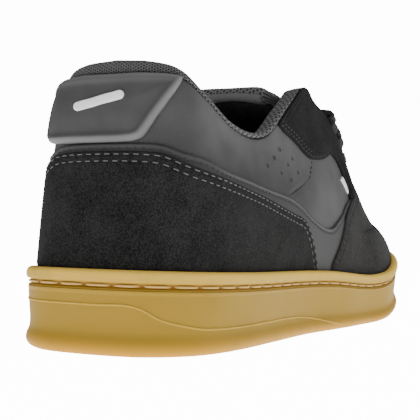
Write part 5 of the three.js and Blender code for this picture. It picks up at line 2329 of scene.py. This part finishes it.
@dataclass
class Tongue(Part):
    """Padded tongue, crowned across: mesh outside, smooth binding at its free edge, and a dark lining whose
    near-black colour is also painted shade under the tongue.
    """

    thickness: float = 6.0
    half_width: float = 26.0
    crown: float = 111.5
    corner_puff: float = 4.5
    corner_rise: float = 5.5
    # share of the length, share of the half width, share of the crown's height, drop at the long edges
    rows: Rows = (
        (0.39, 0.8, 1, 6), (0.44, 0.92, 0.99, 8), (0.495, 1, 0.955, 10), (0.57, 1, 0.868, 10),
        (0.64, 0.92, 0.745, 9), (0.69, 0.78, 0.63, 7), (0.735, 0.55, 0.53, 4), (0.76, 0.45, 0.507, 3),
    )

    def place(self, along: Array, across: Array, depth: Array) -> Array:
        """Place under the tongue's crown: down its own slope's normal by depth.

        Args:
            along: shares of the length.
            across: shares of the half width, from -1 to 1.
            depth: depth under the crown.

        Returns:
            One place for each set.
        """
        rise = smooth(self.rows, along + 0.01, 2) - smooth(self.rows, along - 0.01, 2)
        slope = self.crown * rise / (0.02 * LAST.length)
        down = unit(np.stack([np.zeros_like(slope), slope, -np.ones_like(slope)], -1))
        x = smooth(LAST.centre_rows, along) + across * smooth(self.rows, along, 1) * self.half_width
        z = self.crown * smooth(self.rows, along, 2) - smooth(self.rows, along, 3) * across**2
        return np.stack([x, along * LAST.length, z], -1) + depth[..., None] * down

    def build(self) -> None:
        """Closed section swept down the tongue.

        The section is an oval that fills half the thickness either side of the middle, and it narrows to
        a rounded end at the free edge.
        """
        t = np.linspace(0, 1, 150)
        start, stop = self.rows[0][0], self.rows[-1][0]
        along = start + (stop - start) * t
        angle = np.linspace(0, 2 * np.pi, 88, endpoint=False)
        cosine, sine = np.cos(angle), np.sin(angle)
        across = np.sign(cosine) * np.abs(cosine) ** 0.45
        from_free = (along - start) * LAST.length
        round_end = np.sqrt(np.clip(1 - (1 - np.clip(from_free / 3.2, 0, 1)) ** 2, 0.0, 1))
        near_free = (1 - ease(8, 34, from_free))[:, None]
        thick = self.thickness + self.corner_puff * near_free * across[None] ** 2
        half = 0.5 * thick * (0.08 + 0.92 * round_end[:, None])
        corner = 1 - 0.14 * (1 - ease(0, 14, from_free))
        seam = 1 - 0.25 * hump(from_free - 6.5, 0.9)
        middle = 0.5 * thick - self.corner_rise * near_free * across[None] ** 2
        depth = middle - half * (np.sign(sine) * np.abs(sine) ** 0.6)[None] * seam[:, None]
        lengthwise = np.broadcast_to(along[:, None], depth.shape)
        points = self.place(lengthwise, across[None] * corner[:, None], depth)
        rows, columns = depth.shape
        faces = [grid_faces(rows, columns, 0, False, True), end_caps(rows, columns)]
        # The underside behind the binding takes the lining colour, which is also painted shade.
        under = ease(0.45, 0.6, -sine)[None] * np.ones_like(depth)
        binding = under * (1 - ease(4.0, 5.0, from_free))[:, None]
        inside = under * ease(4.0, 5.0, from_free)[:, None]
        run = depth - np.clip(4 * sine, -1, 1)[None] * from_free[:, None]
        uv = np.stack([np.broadcast_to(across[None] * self.half_width, depth.shape), run], -1)
        marks = {"binding": binding, "inside": inside}
        made = make_object("tongue_pad", points, faces, uv, marks)
        finish_piece(made, self.finishes.tongue, Slot.MESH, "tongue")


# Lacing


@dataclass
class Lacing(Part):
    """Flat lace: a bar over the lowest eyelets and crossings up to the top ones, and the eyelets."""

    tongue: Tongue
    rows: int = 6
    first: float = 7.3
    last: float = 10.0
    inset: float = 7.0
    radius: float = 2.1
    width: float = 7.5
    thick: float = 3.0
    over: tuple[float, ...] = (2.4, 2.8, 3.6, 4.4, 4.8, 4.9)

    def stations(self) -> Array:
        """Stations of the eyelet rows, top row first."""
        return np.linspace(self.first, self.last, self.rows)

    def on_side(self, row: int, side: Side) -> tuple[float, float]:
        """Station and share of an eyelet.

        Args:
            row: the eyelet's row.
            side: its side.

        Returns:
            Station and share.
        """
        station = self.stations()[row]
        share = float(LAST.share_below(np.array([station]), self.inset)[0])
        return (station if side is Side.LATERAL else LAST.count - station), share

    def up_end(self, row: int, side: Side) -> Array:
        """Lace's way out of an eyelet and over the throat's edge.

        Args:
            row: the eyelet's row.
            side: its side.

        Returns:
            Places from the eyelet to the edge.
        """
        s, v = self.on_side(row, side)
        shares = (v, v, 0.72 * v + 0.28, 0.4 * v + 0.6, 1.0)
        over = self.over[row]
        lifts = (-3.6, 1.2, over + 0.3, over + 0.1, over + 0.2)
        return LAST.off(np.full(5, s), np.array(shares), np.array(lifts))

    def down_end(self, row: int, side: Side) -> Array:
        """Lace's way under the throat's edge and up into an eyelet.

        Args:
            row: the eyelet's row.
            side: its side.

        Returns:
            Places from the edge to the eyelet.
        """
        s, v = self.on_side(row, side)
        shares = (1.0, 0.5 * v + 0.5, 0.8 * v + 0.2, v, v)
        lifts = (-3.7, -4.0, -4.0, -3.2, 0.9)
        return LAST.off(np.full(5, s), np.array(shares), np.array(lifts))

    def strand(self, start: Array, end: Array, raise_by: float) -> Array:
        """Line of one crossing, held above the tongue between its ends.

        Args:
            start: places up to the edge on one side.
            end: places from the edge on the other.
            raise_by: further height in the middle.

        Returns:
            Places along the lace's middle.
        """
        a, b = start[-1], end[0]
        share = np.array([0.2, 0.35, 0.5, 0.65, 0.8])[:, None]
        middle = a + share * (b - a)
        along = middle[:, 1] / LAST.length
        half = self.tongue.half_width * smooth(self.tongue.rows, along, 1)
        across = (middle[:, 0] - smooth(LAST.centre_rows, along)) / half
        face = self.tongue.place(along, across, np.zeros_like(along))[:, 2] + 1.0 + 0.5 * self.thick
        sag = 4 * share[:, 0] * (1 - share[:, 0])
        middle[:, 2] = np.maximum(middle[:, 2], face) + raise_by * sag
        return spline(np.concatenate([start, middle, end]), 90)

    def ribbon(self, line: Array, pinch: Array) -> Form:
        """Flat oval section along a line, its width kept along the shoe.

        Args:
            line: places of the lace's middle.
            pinch: share of the full width at each place.

        Returns:
            Points, faces and pattern coordinates.
        """
        ahead = unit(np.gradient(line, axis=0))
        throat = unit((LAST.point(8.0, 1.0) - LAST.point(9.0, 1.0)) * (0, 1, 1))
        wide = unit(throat[None] - (ahead @ throat)[:, None] * ahead)
        thin = np.cross(ahead, wide)
        section = oval(16, 0.62)
        fat = 0.5 * self.thick * (1 + 0.35 * (1 - pinch))[:, None]
        broad = wide * 0.5 * self.width * pinch[:, None]
        points, faces = swept(line[None], broad[None], (thin * fat)[None], section)
        lengths = arc_lengths(line)
        u = np.broadcast_to(lengths[:, None], (len(line), 16))
        w = np.broadcast_to(0.5 * self.width * section[None, :, 0], u.shape)
        return points, faces, np.stack([u, w], -1)

    def pinched(self, line: Array, holes: Sequence[Array]) -> Array:
        """Share of the full width: narrow near an eyelet, full a few millimetres away."""
        near = np.min([np.linalg.norm(line - hole[None], axis=-1) for hole in holes], axis=0)
        return 0.42 + 0.58 * ease(1.5, 6.5, near)

    def laces(self) -> None:
        """Crossings, each from an eyelet over the edge to the next higher eyelet on the other side."""
        parts = []
        for row in range(1, self.rows):
            for side in Side:
                other = Side.MEDIAL if side is Side.LATERAL else Side.LATERAL
                start, end = self.up_end(row, side), self.down_end(row - 1, other)
                if row == self.rows - 1:
                    start = self.down_end(row, side)[::-1]
                line = self.strand(start, end, 1.3 if side is Side.MEDIAL else 0.0)
                parts.append(self.ribbon(line, self.pinched(line, (start[0], end[-1]))))
        made = make_object("lace_crossings", *joined(parts))
        finish_piece(made, self.finishes.lace, Slot.CORD, "laces")
        low = self.rows - 1
        start, end = self.up_end(low, Side.LATERAL), self.up_end(low, Side.MEDIAL)[::-1]
        line = self.strand(start, end, 0.6)
        made = make_object("lace_over_vamp", *self.ribbon(line, self.pinched(line, (start[0], end[-1]))))
        finish_piece(made, self.finishes.lace, Slot.CORD, "lace_bar")

    def eyelets(self) -> None:
        """Punched eyelets: a low pressed rim round a dark hole, its near-black colour painted shade inside
        the hole.
        """
        for side in Side:
            found = np.array([self.on_side(row, side) for row in range(self.rows)])
            centre = LAST.off(found[:, 0], found[:, 1], np.full(self.rows, 1.45))
            normal = LAST.normal(found[:, 0], found[:, 1])
            radii = [self.radius + more for more in (0.75, 0.6, 0.3, 0.0, -0.15)]
            points, faces = lathe(radii, (-0.9, 0.05, 0.12, 0.05, -0.35), centre, normal, 24)
            edge = np.full(len(points), 2.0)
            name = side.name.lower()
            made = make_object(f"eyelet_rims_{name}", points, faces, marks={"edge": edge})
            finish_piece(made, self.finishes.eyestay, Slot.SUEDE, f"eyestay_{name}")
            # Painted shade: shallow near-black cups stand for the shade inside the eyelet holes.
            radii = [self.radius, self.radius - 0.05, 0.5 * self.radius]
            points, faces = lathe(radii, (-0.9, 0.06, 0.07), centre, normal, 20)
            made = make_object(f"eyelet_holes_{name}", points, faces)
            finish_piece(made, self.finishes.hole, Slot.SUEDE, f"eyestay_{name}")

    def build(self) -> None:
        """Lace and eyelets."""
        self.laces()
        self.eyelets()


def main() -> None:
    """Builds the scene in order."""
    logging.basicConfig(level=logging.INFO, format="%(name)s %(message)s")
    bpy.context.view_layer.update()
    Studio().build()
    finishes = Finishes()
    tongue = Tongue(finishes)
    uppers = (Body(finishes), Panels(finishes), HeelTab(finishes), Collar(finishes))
    for part in (CupSole(finishes), *uppers, tongue, Lacing(finishes, tongue)):
        part.build()
        LOG.info("%s done", type(part).__name__)
    bpy.context.view_layer.update()


if __name__ == "__main__":
    main()
